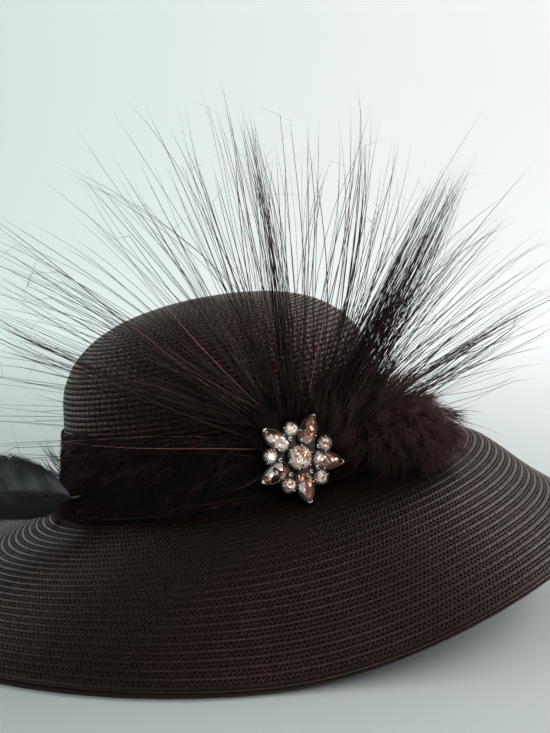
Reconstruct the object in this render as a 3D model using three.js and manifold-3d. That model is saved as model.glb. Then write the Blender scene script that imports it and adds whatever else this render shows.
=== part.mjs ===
// A wide church hat of sewn straw braid, lying on its brim.
// The crown leans to the left over a broad, down-turned brim. A deep band of down runs round
// the foot of the crown, with a tuft of down and a spray of long quills at the front, a vane
// feather at the left and a star brooch of cut stones.
// Millimetres. +X is to the right, +Y away from the wearer's brooch side, +Z up, floor at 0.

import * as THREE from 'three';
import { mergeVertices } from 'three/addons/utils/BufferGeometryUtils.js';
import Module from 'manifold-3d';

const wasm = await Module();
wasm.setup();

// Crown: an oval dome on a leaning axis.
const crownHalfLength = 97;
const crownHalfDepth = 86;
const crownHeight = 98.8;
const crownLean = 11;
const crownFoot = new THREE.Vector3(2.3, 0, 59);
const strawThickness = 1.6;
const crownColumns = 40;

// Share of the height against share of the foot's radius.
const crownSections = [
  { height: 0, radius: 1 },
  { height: 0.25, radius: 0.945 },
  { height: 0.45, radius: 0.902 },
  { height: 0.62, radius: 0.868 },
  { height: 0.75, radius: 0.795 },
  { height: 0.85, radius: 0.684 },
  { height: 0.92, radius: 0.545 },
  { height: 0.965, radius: 0.385 },
  { height: 1, radius: 0 },
];
const crownRows = [0, 0.16, 0.34, 0.52, 0.65, 0.76, 0.85, 0.92, 0.965, 0.992];

// Brim: one width all round, falling at these angles from the crown outwards.
const brimWidth = 112;
const brimThickness = 1.8;
const brimColumns = 50;
const brimRows = 10;
const rimLift = 40;
const rimFlat = 2.4;
const brimFall = [
  { out: 0, left: 28, front: 14, right: -18 },
  { out: 0.15, left: 27, front: 14, right: -8 },
  { out: 0.3, left: 25, front: 17, right: 8 },
  { out: 0.45, left: 24, front: 27, right: 26 },
  { out: 0.6, left: 20, front: 38, right: 30 },
  { out: 0.8, left: 12, front: 43, right: 25 },
  { out: 1, left: 6, front: 39, right: 32 },
];

// Band of down round the crown's foot.
const seatGap = 0.35;
const bandBottom = 1.8;
const bandTop = 33;
const bandBacking = 1.8;
const bandColumns = 36;
const bandTiers = [
  { from: 0, to: 254, count: 16, root: 26, tip: 41, out: 2.2, lean: 5, width: 27, thick: 3 },
  { from: -2, to: 262, count: 17, root: 25, tip: 8, out: 5, lean: 7, width: 28, thick: 4 },
  { from: 1, to: 264, count: 18, root: 12, tip: 0, out: 8, lean: 2.5, width: 26, thick: 4 },
];

// Tuft of down to the right of the brooch: a head on the band and locks all over an oval.
const tuftHead = { from: -52, to: -12, bottom: 9, top: 31, thick: 4 };
const tuftCentre = new THREE.Vector3(92.8, -58, 94);
const tuftReach = new THREE.Vector3(42, 30, 26);
const tuftLocks = 36;
const tuftQuills = [
  { angle: 8, reach: 84, back: 12 },
  { angle: 17, reach: 100, back: 26 },
  { angle: 25, reach: 92, back: 8 },
  { angle: 33, reach: 108, back: 22 },
];

// Spray of quills: a head above the brooch and a fan of strips.
const sprayHead = { from: -82, to: -57, bottom: 11, top: 34, thick: 10.2 };
const sprayFan = [
  { angle: 184, reach: 150, back: 26 },
  { angle: 165, reach: 172, back: 24 },
  { angle: 140, reach: 170, back: 20 },
  { angle: 110, reach: 160, back: 14 },
  { angle: 80, reach: 162, back: 10 },
  { angle: 60, reach: 168, back: 8 },
  { angle: 40, reach: 156, back: 12 },
];
const sprayStrips = 36;
const sprayStripWidth = 4.6;

// Vane feather at the left.
const featherRoot = new THREE.Vector3(-77.2, -67, 59.5);
const featherTip = new THREE.Vector3(-178, -36, 54);
const featherSeat = new THREE.Vector3(-68.5, -59, 60.5);
const featherThickness = 1.4;
const quillRadius = 1.5;
const featherSections = [
  { along: 0, above: 1.5, below: 1.5 },
  { along: 0.06, above: 8, below: 7 },
  { along: 0.12, above: 12, below: 10 },
  { along: 0.2, above: 16, below: 12.5 },
  { along: 0.3, above: 19.5, below: 14.5 },
  { along: 0.5, above: 20, below: 15 },
  { along: 0.7, above: 18, below: 13.5 },
  { along: 0.85, above: 13, below: 10 },
  { along: 0.95, above: 7, below: 5.5 },
  { along: 1, above: 1.2, below: 1.2 },
];

// Brooch: a star of five pear stones with round stones between, on a leaning plane.
const broochTurn = -70;
const broochRise = 16.1;
const stoneGap = 0.15;
const cupWall = 0.75;
const centreStone = { radius: 5.4, lift: 1.6, claws: 4 };
const roundRadius = 3.15;
const pearLength = 14.6;
const pearWidth = 8;
const pearFrom = 7.1;
const pearAngles = [140, 67, -8, -80, -150];
const roundStones = [
  { angle: 103, distance: 14 },
  { angle: 25, distance: 14.7 },
  { angle: -44, distance: 14 },
  { angle: -115, distance: 14 },
  { angle: 175, distance: 14 },
];
const plateRadius = 13;
const pinRadius = 0.7;
const pinLength = 26;
const pinBehind = 6.6;

const strawLook = { color: 0x1d1715, roughness: 0.55, metalness: 0 };
const downLook = { color: 0x1b1412, roughness: 0.95, metalness: 0 };
const quillLook = { color: 0x2a2021, roughness: 0.6, metalness: 0 };
const featherLook = { color: 0x0e0f11, roughness: 0.4, metalness: 0 };
const silverLook = { color: 0xb9b4ae, roughness: 0.25, metalness: 1 };
const clearLook = { color: 0xeadccf, roughness: 0.05, metalness: 0 };
const smokyLook = { color: 0x8a6048, roughness: 0.05, metalness: 0 };

const degrees = Math.PI / 180;
const up = new THREE.Vector3(0, 0, 1);

const lean = crownLean * degrees;
const crownRight = new THREE.Vector3(Math.cos(lean), 0, Math.sin(lean));
const crownAxis = new THREE.Vector3(-Math.sin(lean), 0, Math.cos(lean));

// A smooth curve through the rows of a table, with no overshoot between two rows.
function curveThrough(rows, from, to) {
  const x = rows.map((row) => row[from]);
  const y = rows.map((row) => row[to]);
  const last = x.length - 1;
  const slope = x.slice(1).map((value, i) => (y[i + 1] - y[i]) / (value - x[i]));
  const tangent = x.map((value, i) => {
    if (i === 0 || i === last) {
      return slope[Math.max(i - 1, 0)];
    }
    const product = slope[i - 1] * slope[i];
    return product <= 0 ? 0 : (2 * product) / (slope[i - 1] + slope[i]);
  });
  return (value) => {
    let i = 0;
    while (i < last - 1 && value > x[i + 1]) {
      i += 1;
    }
    const step = x[i + 1] - x[i];
    const t = THREE.MathUtils.clamp((value - x[i]) / step, 0, 1);
    const s = 1 - t;
    return y[i] * s * s * (1 + 2 * t) + y[i + 1] * t * t * (3 - 2 * t)
      + step * t * s * (s * tangent[i] - t * tangent[i + 1]);
  };
}

// A closed body over a run of rings. A ring of one point is a pole. With loop, the last ring
// joins the first; otherwise each end that isn't a pole is closed flat.
function skin(rings, loop = false) {
  const points = [];
  const starts = rings.map((ring) => {
    points.push(...ring);
    return points.length - ring.length;
  });
  const faces = [];
  const joins = loop ? rings.length : rings.length - 1;
  for (let i = 0; i < joins; i += 1) {
    const next = (i + 1) % rings.length;
    const a = starts[i];
    const b = starts[next];
    const count = Math.max(rings[i].length, rings[next].length);
    for (let j = 0; j < count; j += 1) {
      const k = (j + 1) % count;
      if (rings[i].length === 1) {
        faces.push([a, b + j, b + k]);
      } else if (rings[next].length === 1) {
        faces.push([a + k, a + j, b]);
      } else {
        faces.push([a + j, b + j, b + k], [a + j, b + k, a + k]);
      }
    }
  }
  if (!loop) {
    const end = rings.length - 1;
    for (let j = 1; j < rings[0].length - 1; j += 1) {
      faces.push([starts[0], starts[0] + j, starts[0] + j + 1]);
    }
    for (let j = 1; j < rings[end].length - 1; j += 1) {
      faces.push([starts[end], starts[end] + j + 1, starts[end] + j]);
    }
  }
  return facedOutwards(points, faces);
}

function facedOutwards(points, faces) {
  let volume = 0;
  for (const [a, b, c] of faces) {
    volume += points[a].dot(points[b].clone().cross(points[c]));
  }
  const index = volume < 0 ? faces.flatMap(([a, b, c]) => [a, c, b]) : faces.flat();
  const geometry = new THREE.BufferGeometry();
  geometry.setAttribute('position', new THREE.Float32BufferAttribute(
    points.flatMap((point) => point.toArray()), 3));
  geometry.setIndex(index);
  return geometry;
}

function toSolid(geometry) {
  const bare = geometry.clone();
  bare.deleteAttribute('normal');
  bare.deleteAttribute('uv');
  const merged = mergeVertices(bare, 1e-4);
  return new wasm.Manifold(new wasm.Mesh({
    numProp: 3,
    vertProperties: new Float32Array(merged.attributes.position.array),
    triVerts: new Uint32Array(merged.index.array),
  }));
}

// Several closed bodies grown together into one, with the hollows cut out of it.
function fuse(geometries, hollows = []) {
  let whole = toSolid(geometries[0]);
  for (const geometry of geometries.slice(1)) {
    whole = whole.add(toSolid(geometry));
  }
  for (const hollow of hollows) {
    whole = whole.subtract(toSolid(hollow));
  }
  const mesh = whole.getMesh();
  const geometry = new THREE.BufferGeometry();
  geometry.setAttribute('position', new THREE.Float32BufferAttribute(mesh.vertProperties, 3));
  geometry.setIndex([...mesh.triVerts]);
  return geometry;
}

const parts = new THREE.Group();

function addPart(name, geometry, look) {
  geometry.computeVertexNormals();
  const mesh = new THREE.Mesh(geometry, new THREE.MeshStandardMaterial(look));
  mesh.name = name;
  parts.add(mesh);
}

// Crown

const squaredRadius = curveThrough(
  crownSections.map(({ height, radius }) => ({ height, square: radius * radius })), 'height', 'square');

function crownSkin(turn, rise) {
  const share = THREE.MathUtils.clamp(rise / crownHeight, 0, 1);
  const radius = Math.sqrt(Math.max(squaredRadius(share), 0));
  return crownFoot.clone()
    .addScaledVector(crownRight, radius * crownHalfLength * Math.cos(turn * degrees))
    .add(new THREE.Vector3(0, radius * crownHalfDepth * Math.sin(turn * degrees), 0))
    .addScaledVector(crownAxis, rise);
}

function crownNormal(turn, rise) {
  const low = Math.max(rise - 0.5, 0);
  const across = crownSkin(turn + 0.5, rise).sub(crownSkin(turn - 0.5, rise));
  const along = crownSkin(turn, low + 1).sub(crownSkin(turn, low));
  return across.cross(along).normalize();
}

// A point round the crown: degrees from the right end, height up the axis, distance off it.
function offCrown(turn, rise, out) {
  return crownSkin(turn, rise).addScaledVector(crownNormal(turn, rise), out);
}

function turns(count, from = 0, to = 360) {
  const closed = to - from >= 360;
  return Array.from({ length: count }, (_, i) => from + ((to - from) * i) / (closed ? count : count - 1));
}

const outerRings = crownRows.map((share) =>
  turns(crownColumns).map((turn) => crownSkin(turn, Math.max(share * crownHeight, seatGap))));
const innerRings = crownRows.map((share) =>
  turns(crownColumns).map((turn) => offCrown(turn, Math.max(share * crownHeight, seatGap), -strawThickness)));
// The inner foot is level with the outer foot.
innerRings[0].forEach((point, j) => {
  point.addScaledVector(crownAxis, outerRings[0][j].clone().sub(point).dot(crownAxis));
});
const outerTop = crownFoot.clone().addScaledVector(crownAxis, crownHeight);
const innerTop = outerTop.clone().addScaledVector(crownAxis, -strawThickness);
addPart('crown', skin([[innerTop], ...innerRings.reverse(), ...outerRings, [outerTop]]), strawLook);

// Brim

const fallLeft = curveThrough(brimFall, 'out', 'left');
const fallFront = curveThrough(brimFall, 'out', 'front');
const fallRight = curveThrough(brimFall, 'out', 'right');

// The brim's upper side along one section: distance out in plan and height, in equal steps.
function brimSection(turn, steps = 60) {
  const c = Math.cos(turn * degrees);
  const foot = crownSkin(turn, 0);
  const rim = c > 0 ? rimLift * c ** 3 * (4 - 3 * c) : 0;
  const step = brimWidth / steps;
  const sines = Array.from({ length: steps }, (_, i) => {
    const share = (i + 0.5) / steps;
    const front = fallFront(share);
    const left = fallLeft(share);
    const right = fallRight(share);
    const angle = front + ((right - left) / 2) * c + ((right + left) / 2 - front) * c * c;
    return Math.sin(angle * degrees);
  });
  const total = sines.reduce((sum, value) => sum + value * step, 0);
  const share = (foot.z - rim - brimThickness) / total;
  const rows = [{ run: 0, z: foot.z }];
  for (const sine of sines) {
    const drop = sine * step * share;
    const before = rows[rows.length - 1];
    rows.push({ run: before.run + Math.sqrt(step * step - drop * drop), z: before.z - drop });
  }
  const outward = new THREE.Vector3(
    Math.cos(turn * degrees) / (crownHalfLength * Math.cos(lean)),
    Math.sin(turn * degrees) / crownHalfDepth, 0).normalize();
  return rows.map(({ run, z }) => foot.clone().addScaledVector(outward, run).setZ(z));
}

// A point on the brim: degrees from the right end, distance out along it, height over it.
function offBrim(turn, out, over) {
  const rows = brimSection(turn);
  const place = (out / brimWidth) * (rows.length - 1);
  const i = Math.min(Math.floor(place), rows.length - 2);
  return rows[i].clone().lerp(rows[i + 1], place - i).addScaledVector(up, over);
}

const brimSections = turns(brimColumns).map((turn) => brimSection(turn, brimRows));
const brimTop = Array.from({ length: brimRows + 1 }, (_, i) => brimSections.map((rows) => rows[i]));
const brimUnder = brimTop.slice(0, -1).map((ring, i) => ring.map((point, j) => {
  const count = brimColumns;
  const across = ring[(j + 1) % count].clone().sub(ring[(j + count - 1) % count]);
  const along = brimTop[i + 1][j].clone().sub(brimTop[Math.max(i - 1, 0)][j]);
  return point.clone().addScaledVector(along.cross(across).normalize(), -brimThickness);
}));
// The rim's underside is pressed flat where it meets the floor.
const rimOuter = brimTop[brimRows].map((point) => point.clone().addScaledVector(up, -brimThickness));
const rimInner = rimOuter.map((point, j) => {
  const inwards = brimTop[brimRows - 1][j].clone().sub(brimTop[brimRows][j]).setZ(0).normalize();
  return point.clone().addScaledVector(inwards, rimFlat);
});
// The inner edge runs in under the crown's wall.
const innerEdge = turns(brimColumns).map((turn) => crownFoot.clone()
  .addScaledVector(crownRight, (crownHalfLength - strawThickness) * Math.cos(turn * degrees))
  .add(new THREE.Vector3(0, (crownHalfDepth - strawThickness) * Math.sin(turn * degrees), 0)));
const innerEdgeUnder = innerEdge.map((point) => point.clone().addScaledVector(crownAxis, -brimThickness));
addPart('brim', skin(
  [innerEdge, ...brimTop, rimOuter, rimInner, ...brimUnder.slice(1).reverse(), innerEdgeUnder], true), strawLook);

// Down

// A curved slab that follows the crown's wall between two turns, two heights and two distances.
function wallSlab(from, to, bottom, top, near, far, columns) {
  const middle = (bottom + top) / 2;
  const corners = [[bottom, near], [middle, near], [top, near], [top, far], [middle, far], [bottom, far]];
  const rings = turns(columns, from, to).map((turn) =>
    corners.map(([rise, out]) => offCrown(turn, rise, out)));
  return skin(rings, to - from >= 360);
}

// One flat lock of down, bent from its root over a middle point to its tip.
function lock(root, middle, tip, outward, width, thick, shares) {
  const curve = new THREE.QuadraticBezierCurve3(root, middle, tip);
  const rings = shares.map((share, i) => {
    const t = i / shares.length;
    const along = curve.getTangent(t);
    const side = along.clone().cross(outward).normalize();
    const face = side.clone().cross(along).normalize();
    const centre = curve.getPoint(t);
    return [
      centre.clone().addScaledVector(side, (width * share) / 2),
      centre.clone().addScaledVector(face, (thick * share) / 2),
      centre.clone().addScaledVector(side, (-width * share) / 2),
      centre.clone().addScaledVector(face, (-thick * share) / 2),
    ];
  });
  return skin([...rings, [tip]]);
}

const bandFar = seatGap + bandBacking;
const bandPieces = [wallSlab(0, 360, bandBottom, bandTop, seatGap, bandFar, bandColumns)];
bandTiers.forEach((tier, row) => {
  turns(tier.count, tier.from, tier.to).forEach((start, i) => {
    const sway = Math.sin(i * 2.4 + row * 1.7);
    const end = start + tier.lean * (0.6 + 0.5 * sway);
    // The down lies flatter at the crown's two ends.
    const out = tier.out * (0.5 + 0.5 * Math.abs(Math.sin(end * degrees)));
    const root = offCrown(start, tier.root, bandFar - 0.6);
    const tip = tier.tip > 0
      ? offCrown(end, tier.tip + 2 * sway, bandFar + out)
      : offBrim(end, bandFar + out, 2.8);
    const middle = offCrown((start + end) / 2, (tier.root + Math.max(tier.tip, 6)) / 2,
      bandFar + out * (row === 0 ? 0.3 : 0.8));
    const outward = crownNormal(start, tier.root);
    bandPieces.push(lock(root, middle, tip, outward, tier.width, tier.thick, [0.45, 1]));
  });
});
// The feather's bare quill is tucked into the band.
const featherAlong = featherSeat.clone().sub(featherRoot).normalize();
function quill(radius, extra) {
  const ends = [featherRoot.clone().addScaledVector(featherAlong, -6), featherSeat.clone()
    .addScaledVector(featherAlong, extra)];
  const side = featherAlong.clone().cross(up).normalize();
  const top = side.clone().cross(featherAlong);
  return skin(ends.map((end) => turns(6).map((turn) => end.clone()
    .addScaledVector(side, radius * Math.cos(turn * degrees))
    .addScaledVector(top, radius * Math.sin(turn * degrees)))));
}
addPart('fur_band', fuse(bandPieces, [quill(quillRadius + seatGap, seatGap)]), downLook);

// The brim's height straight under a point beside the crown.
function brimUnderPoint(point) {
  const x = (point.x - crownFoot.x) / (crownHalfLength * Math.cos(lean));
  const y = point.y / crownHalfDepth;
  const out = Math.max(Math.hypot(x, y) - 1, 0) * crownHalfDepth;
  return offBrim(Math.atan2(y, x) / degrees, Math.min(out, brimWidth), 0).z;
}

const tuftNear = bandFar + seatGap;
const tuftPieces = [wallSlab(tuftHead.from, tuftHead.to, tuftHead.bottom, tuftHead.top,
  tuftNear, tuftNear + tuftHead.thick, 7)];
for (let i = 0; i < tuftLocks; i += 1) {
  // Directions spread evenly over the part of a ball that faces away from the crown.
  const height = 0.95 - (1.7 * (i + 0.5)) / tuftLocks;
  const round = i * 137.5 * degrees;
  const flat = Math.sqrt(1 - height * height);
  const direction = new THREE.Vector3(flat * Math.cos(round), flat * Math.sin(round), height);
  const away = crownNormal(THREE.MathUtils.clamp(-35 + direction.x * 20, -52, -12), 20);
  const tip = tuftCentre.clone().add(direction.clone().multiply(tuftReach));
  if (direction.dot(away) < 0.12 || (tip.x < 60 && tip.z < 104)) {
    continue;
  }
  tip.z = Math.max(tip.z, brimUnderPoint(tip) + 4);
  const turn = THREE.MathUtils.clamp(-32 + direction.x * 20, tuftHead.from + 3, tuftHead.to - 3);
  const rise = THREE.MathUtils.clamp(20 + direction.z * 10, tuftHead.bottom + 3, tuftHead.top - 3);
  const root = offCrown(turn, rise, tuftNear + tuftHead.thick * 0.6);
  const middle = root.clone().lerp(tip, 0.5).addScaledVector(away, 4);
  tuftPieces.push(lock(root, middle, tip, away.clone().add(up).normalize(), 17, 9, [0.4, 1]));
}
// Long quills that come up through the tuft, leaning to the right.
tuftQuills.forEach(({ angle, reach, back }, i) => {
  const root = offCrown(-18 - 5 * i, 17 + 3 * i, tuftNear + tuftHead.thick * 0.6);
  const tip = new THREE.Vector3(Math.cos(angle * degrees) * reach, back, Math.sin(angle * degrees) * reach).add(root);
  const middle = root.clone().lerp(tip, 0.5).add(new THREE.Vector3(0, -4, 4));
  tuftPieces.push(lock(root, middle, tip, new THREE.Vector3(0, -1, 0), sprayStripWidth, 2, [0.8, 1]));
});
addPart('marabou_tuft', fuse(tuftPieces), downLook);

// Quills

const reachAt = curveThrough([...sprayFan].reverse(), 'angle', 'reach');
const backAt = curveThrough([...sprayFan].reverse(), 'angle', 'back');
const sprayPieces = [wallSlab(sprayHead.from, sprayHead.to, sprayHead.bottom, sprayHead.top,
  tuftNear, tuftNear + sprayHead.thick, 6)];
for (let i = 0; i < sprayStrips; i += 1) {
  const share = i / (sprayStrips - 1);
  const angle = 40 + 144 * share;
  const long = 0.82 + 0.18 * Math.abs(Math.sin(i * 1.9));
  const turn = THREE.MathUtils.lerp(sprayHead.to - 2, sprayHead.from + 2, share);
  const root = offCrown(turn, sprayHead.top - 3 - 4 * Math.abs(share - 0.5), tuftNear + sprayHead.thick * 0.5);
  const reach = reachAt(angle) * long;
  const side = Math.cos(angle * degrees) * reach;
  const height = Math.sin(angle * degrees) * reach;
  const tip = root.clone().add(new THREE.Vector3(side, backAt(angle) * (i % 2 ? 1 : 0.2), height));
  const middle = root.clone().lerp(tip, 0.4).add(new THREE.Vector3(0, -12, 5));
  sprayPieces.push(lock(root, middle, tip, new THREE.Vector3(0, -1, 0), sprayStripWidth, 1.6, [0.7, 1]));
}
addPart('quill_spray', fuse(sprayPieces), quillLook);

// Vane feather

const featherRings = featherSections.map(({ along, above, below }) => {
  const centre = featherRoot.clone().lerp(featherTip, along);
  centre.z += Math.sin(along * Math.PI);
  const back = (above * above) / 45;
  const front = (below * below) / 60;
  const half = featherThickness / 2;
  const shaft = 0.9 + 1.2 * (1 - along);
  return [
    centre.clone().add(new THREE.Vector3(0, back - half * 0.5, above)),
    centre.clone().add(new THREE.Vector3(0, -shaft, 0)),
    centre.clone().add(new THREE.Vector3(0, front - half * 0.5, -below)),
    centre.clone().add(new THREE.Vector3(0, front + half * 0.5, -below)),
    centre.clone().add(new THREE.Vector3(0, half, 0)),
    centre.clone().add(new THREE.Vector3(0, back + half * 0.5, above)),
  ];
});
addPart('wing_feather', fuse([skin(featherRings), quill(quillRadius, 0)]), featherLook);

// Brooch

const broochOut = tuftNear + sprayHead.thick + seatGap + pinRadius + pinBehind;
const broochCentre = offCrown(broochTurn, broochRise, broochOut);
const broochFacing = crownNormal(broochTurn, broochRise);
const broochRight = up.clone().cross(broochFacing).normalize();
const broochUp = broochFacing.clone().cross(broochRight);
const broochPlane = new THREE.Matrix4().makeBasis(broochRight, broochUp, broochFacing).setPosition(broochCentre);

function onBrooch(geometry) {
  return geometry.applyMatrix4(broochPlane);
}

function circle(radius, count) {
  return turns(count).map((turn) => new THREE.Vector2(
    radius * Math.cos(turn * degrees), radius * Math.sin(turn * degrees)));
}

// Round at the inner end, pointed at the outer end, which lies along +X.
function pear(length, width, count) {
  return turns(count).map((turn) => {
    const c = Math.cos(turn * degrees);
    const s = Math.sin(turn * degrees);
    return new THREE.Vector2((length / 2) * c, (width / 2) * s * (1 - 0.42 * c) * 0.93);
  });
}

function grown(outline, by) {
  return outline.map((point) => point.clone().multiplyScalar(1 + by / point.length()));
}

function placed(outline, seat, height, shrink = 1) {
  const direction = new THREE.Vector2(Math.cos(seat.angle * degrees), Math.sin(seat.angle * degrees));
  return outline.map((point) => {
    const turned = point.clone().multiplyScalar(shrink).rotateAround(new THREE.Vector2(), seat.angle * degrees);
    turned.addScaledVector(direction, seat.distance);
    return new THREE.Vector3(turned.x, turned.y, height);
  });
}

// A cut stone: a flat table, a slope of facets, a girdle and facets down to a point.
function cutStone(outline, seat) {
  const size = seat.size;
  return onBrooch(skin([
    placed(outline, seat, seat.lift + 0.42 * size, 0.58),
    placed(outline, seat, seat.lift + 0.06 * size),
    placed(outline, seat, seat.lift - 0.06 * size),
    placed([new THREE.Vector2(0, 0)], seat, seat.lift - 0.6 * size),
  ]));
}

const backHeight = -3.6;
const cupBottom = backHeight + 0.3;

// The cup round a stone: a wall that stands on the plate.
function cup(outline, seat) {
  const size = seat.size;
  const inner = grown(outline, stoneGap);
  const outer = grown(outline, stoneGap + cupWall);
  const rim = seat.lift - 0.02 * size;
  return skin([
    placed(outer, seat, cupBottom),
    placed(outer, seat, rim),
    placed(inner, seat, rim),
    placed(inner, seat, cupBottom),
  ], true);
}

// A claw that rises from the cup's wall and bends in over the stone's edge.
function claw(point, seat) {
  const size = seat.size;
  const [at] = placed([point], seat, 0);
  const [axis] = placed([new THREE.Vector2(0, 0)], seat, 0);
  const outwards = at.clone().sub(axis).normalize();
  const out = at.clone().addScaledVector(outwards, stoneGap + cupWall * 0.6);
  const root = out.clone().setZ(seat.lift - 0.55 * size);
  const middle = out.clone().addScaledVector(outwards, 0.25).setZ(seat.lift + 0.72 * size);
  const tip = at.clone().addScaledVector(outwards, -0.16 * size).setZ(seat.lift + 0.36 * size + 0.35);
  return lock(root, middle, tip, outwards, 1.15, 0.85, [1, 1]);
}

const centreOutline = circle(centreStone.radius, 12);
const roundOutline = circle(roundRadius, 8);
const pearOutline = pear(pearLength, pearWidth, 10);
const centreSeat = { angle: 0, distance: 0, lift: centreStone.lift, size: centreStone.radius };
const roundSeats = roundStones.map((stone) => ({ ...stone, lift: 0.4, size: roundRadius }));
const pearSeats = pearAngles.map((angle) => ({
  angle, distance: pearFrom + pearLength / 2, lift: 0, size: pearWidth / 2,
}));

const settingPieces = [cup(centreOutline, centreSeat)];
for (let i = 0; i < centreStone.claws; i += 1) {
  settingPieces.push(claw(centreOutline[(i * 12) / centreStone.claws], centreSeat));
}
roundSeats.forEach((seat) => {
  settingPieces.push(cup(roundOutline, seat));
  [1, 4, 7].forEach((i) => settingPieces.push(claw(roundOutline[i], seat)));
});
pearSeats.forEach((seat) => {
  settingPieces.push(cup(pearOutline, seat));
  [0, 3, 7].forEach((i) => settingPieces.push(claw(pearOutline[i], seat)));
});
// The plate that carries all the cups.
settingPieces.push(new THREE.CylinderGeometry(plateRadius, plateRadius, 1.2, 10)
  .rotateX(Math.PI / 2).translate(0, 0, backHeight));
// The plain pin across the back, on two posts.
const pin = new THREE.CylinderGeometry(pinRadius, pinRadius, pinLength, 8);
settingPieces.push(pin.rotateZ(Math.PI / 2).translate(0, 0, -pinBehind));
[-9, 9].forEach((x) => {
  settingPieces.push(new THREE.BoxGeometry(2, 2.2, 4).translate(x, 0, 2 - pinBehind));
});
addPart('brooch_setting', onBrooch(fuse(settingPieces)), silverLook);
addPart('stone_centre', cutStone(centreOutline, centreSeat), clearLook);
roundSeats.forEach((seat, i) => addPart(`stone_round_${i + 1}`, cutStone(roundOutline, seat), clearLook));
pearSeats.forEach((seat, i) => addPart(`stone_pear_${i + 1}`, cutStone(pearOutline, seat), smokyLook));

export default parts;
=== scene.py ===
# %% [markdown]
# # A church hat of sewn straw braid
#
# The hat lies on its own brim. It has a leaning crown, a low band of marabou down, a tuft of the
# same down, a spray of stripped quills, one vane feather and a star brooch of cut stones.
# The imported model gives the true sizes. This script dresses it: each node is either replaced by
# a finer mesh in the same place, or kept with a better material.

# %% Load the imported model
import math

import bpy
import numpy as np
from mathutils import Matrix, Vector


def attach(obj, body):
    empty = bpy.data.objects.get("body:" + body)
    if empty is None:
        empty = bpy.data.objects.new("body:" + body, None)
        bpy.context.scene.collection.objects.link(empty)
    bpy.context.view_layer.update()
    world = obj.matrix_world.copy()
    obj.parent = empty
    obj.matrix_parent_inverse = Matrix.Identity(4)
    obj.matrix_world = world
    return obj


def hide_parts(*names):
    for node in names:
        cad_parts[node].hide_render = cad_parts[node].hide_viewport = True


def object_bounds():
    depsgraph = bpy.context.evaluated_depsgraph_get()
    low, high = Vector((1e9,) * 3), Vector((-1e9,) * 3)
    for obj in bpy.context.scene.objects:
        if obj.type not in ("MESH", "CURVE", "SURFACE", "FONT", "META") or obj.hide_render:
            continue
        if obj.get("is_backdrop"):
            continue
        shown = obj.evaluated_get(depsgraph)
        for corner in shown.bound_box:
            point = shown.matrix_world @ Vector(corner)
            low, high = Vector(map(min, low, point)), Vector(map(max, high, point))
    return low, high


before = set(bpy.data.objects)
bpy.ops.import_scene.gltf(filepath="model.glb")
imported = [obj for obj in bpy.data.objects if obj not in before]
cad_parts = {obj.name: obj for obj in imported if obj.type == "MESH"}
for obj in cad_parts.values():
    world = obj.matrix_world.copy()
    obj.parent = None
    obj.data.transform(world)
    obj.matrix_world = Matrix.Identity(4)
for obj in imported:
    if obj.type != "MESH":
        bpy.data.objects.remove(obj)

cad_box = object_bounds()
MM = 0.001
rng = np.random.default_rng(24)
print("CAD box in metres:", cad_box)

# %% [markdown]
# Everything below is worked out in millimetres with numpy, as whole arrays of points, and
# becomes metres only when it is put into a mesh. Three helpers come first: one gives any vector
# the length 1, one measures the volume inside a set of faces, which is negative when they point
# inwards, and one puts the arrays into a mesh object.

# %% Put arrays into a mesh
def unit(vectors):
    """Each vector divided by its own length."""
    return vectors / np.maximum(np.linalg.norm(vectors, axis=-1, keepdims=True), 1e-9)


def enclosed(points, faces):
    """Signed volume: a fan of triangles from each face's first corner, a . (b x c) / 6."""
    volume = 0.0
    for k in range(1, faces.shape[1] - 1):
        a, b, c = (points[faces[:, i]] for i in (0, k, k + 1))
        volume += np.einsum("ij,ij->", a, np.cross(b, c)) / 6
    return volume


def make_piece(name, points, face_sets, finish, nodes=(), corner_uv=None, shade=None,
               soft_normals=None, smooth=True):
    """A mesh object at the origin from points in mm and arrays of faces, all turned outwards."""
    face_sets = [np.asarray(faces, np.int64) for faces in face_sets if len(faces)]
    if sum(enclosed(points, faces) for faces in face_sets) < 0:
        face_sets = [faces[:, ::-1] for faces in face_sets]
        corner_uv = None if corner_uv is None else [uv[:, ::-1] for uv in corner_uv]
    corners = np.concatenate([faces.ravel() for faces in face_sets])
    sizes = np.concatenate([np.full(len(faces), faces.shape[1]) for faces in face_sets])
    mesh = bpy.data.meshes.new(name)
    mesh.vertices.add(len(points))
    mesh.vertices.foreach_set("co", (np.asarray(points, float) * MM).ravel())
    mesh.loops.add(len(corners))
    mesh.loops.foreach_set("vertex_index", corners)
    mesh.polygons.add(len(sizes))
    mesh.polygons.foreach_set("loop_start", np.cumsum(sizes) - sizes)
    mesh.polygons.foreach_set("use_smooth", np.full(len(sizes), smooth))
    if corner_uv is not None:
        layer = mesh.uv_layers.new(name="along_and_across")
        layer.uv.foreach_set("vector", np.concatenate([uv.reshape(-1) for uv in corner_uv]))
    if shade is not None:
        values = mesh.attributes.new("shade", "FLOAT", "POINT")
        values.data.foreach_set("value", np.asarray(shade, float).ravel())
    mesh.update(calc_edges=True)
    mesh.validate()
    if soft_normals is not None:
        mesh.normals_split_custom_set_from_vertices(unit(soft_normals))
    mesh.materials.append(finish)
    piece = bpy.data.objects.new(name, mesh)
    bpy.context.scene.collection.objects.link(piece)
    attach(piece, "root")
    if nodes:
        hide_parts(*nodes)
    print(f"{name}: {int((sizes - 2).sum())} triangles")
    return piece


# %% [markdown]
# A material starts from what the real stuff is. One helper adds a node with its settings and
# its links, and another turns a colour written as hex into the linear numbers Blender wants.

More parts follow.
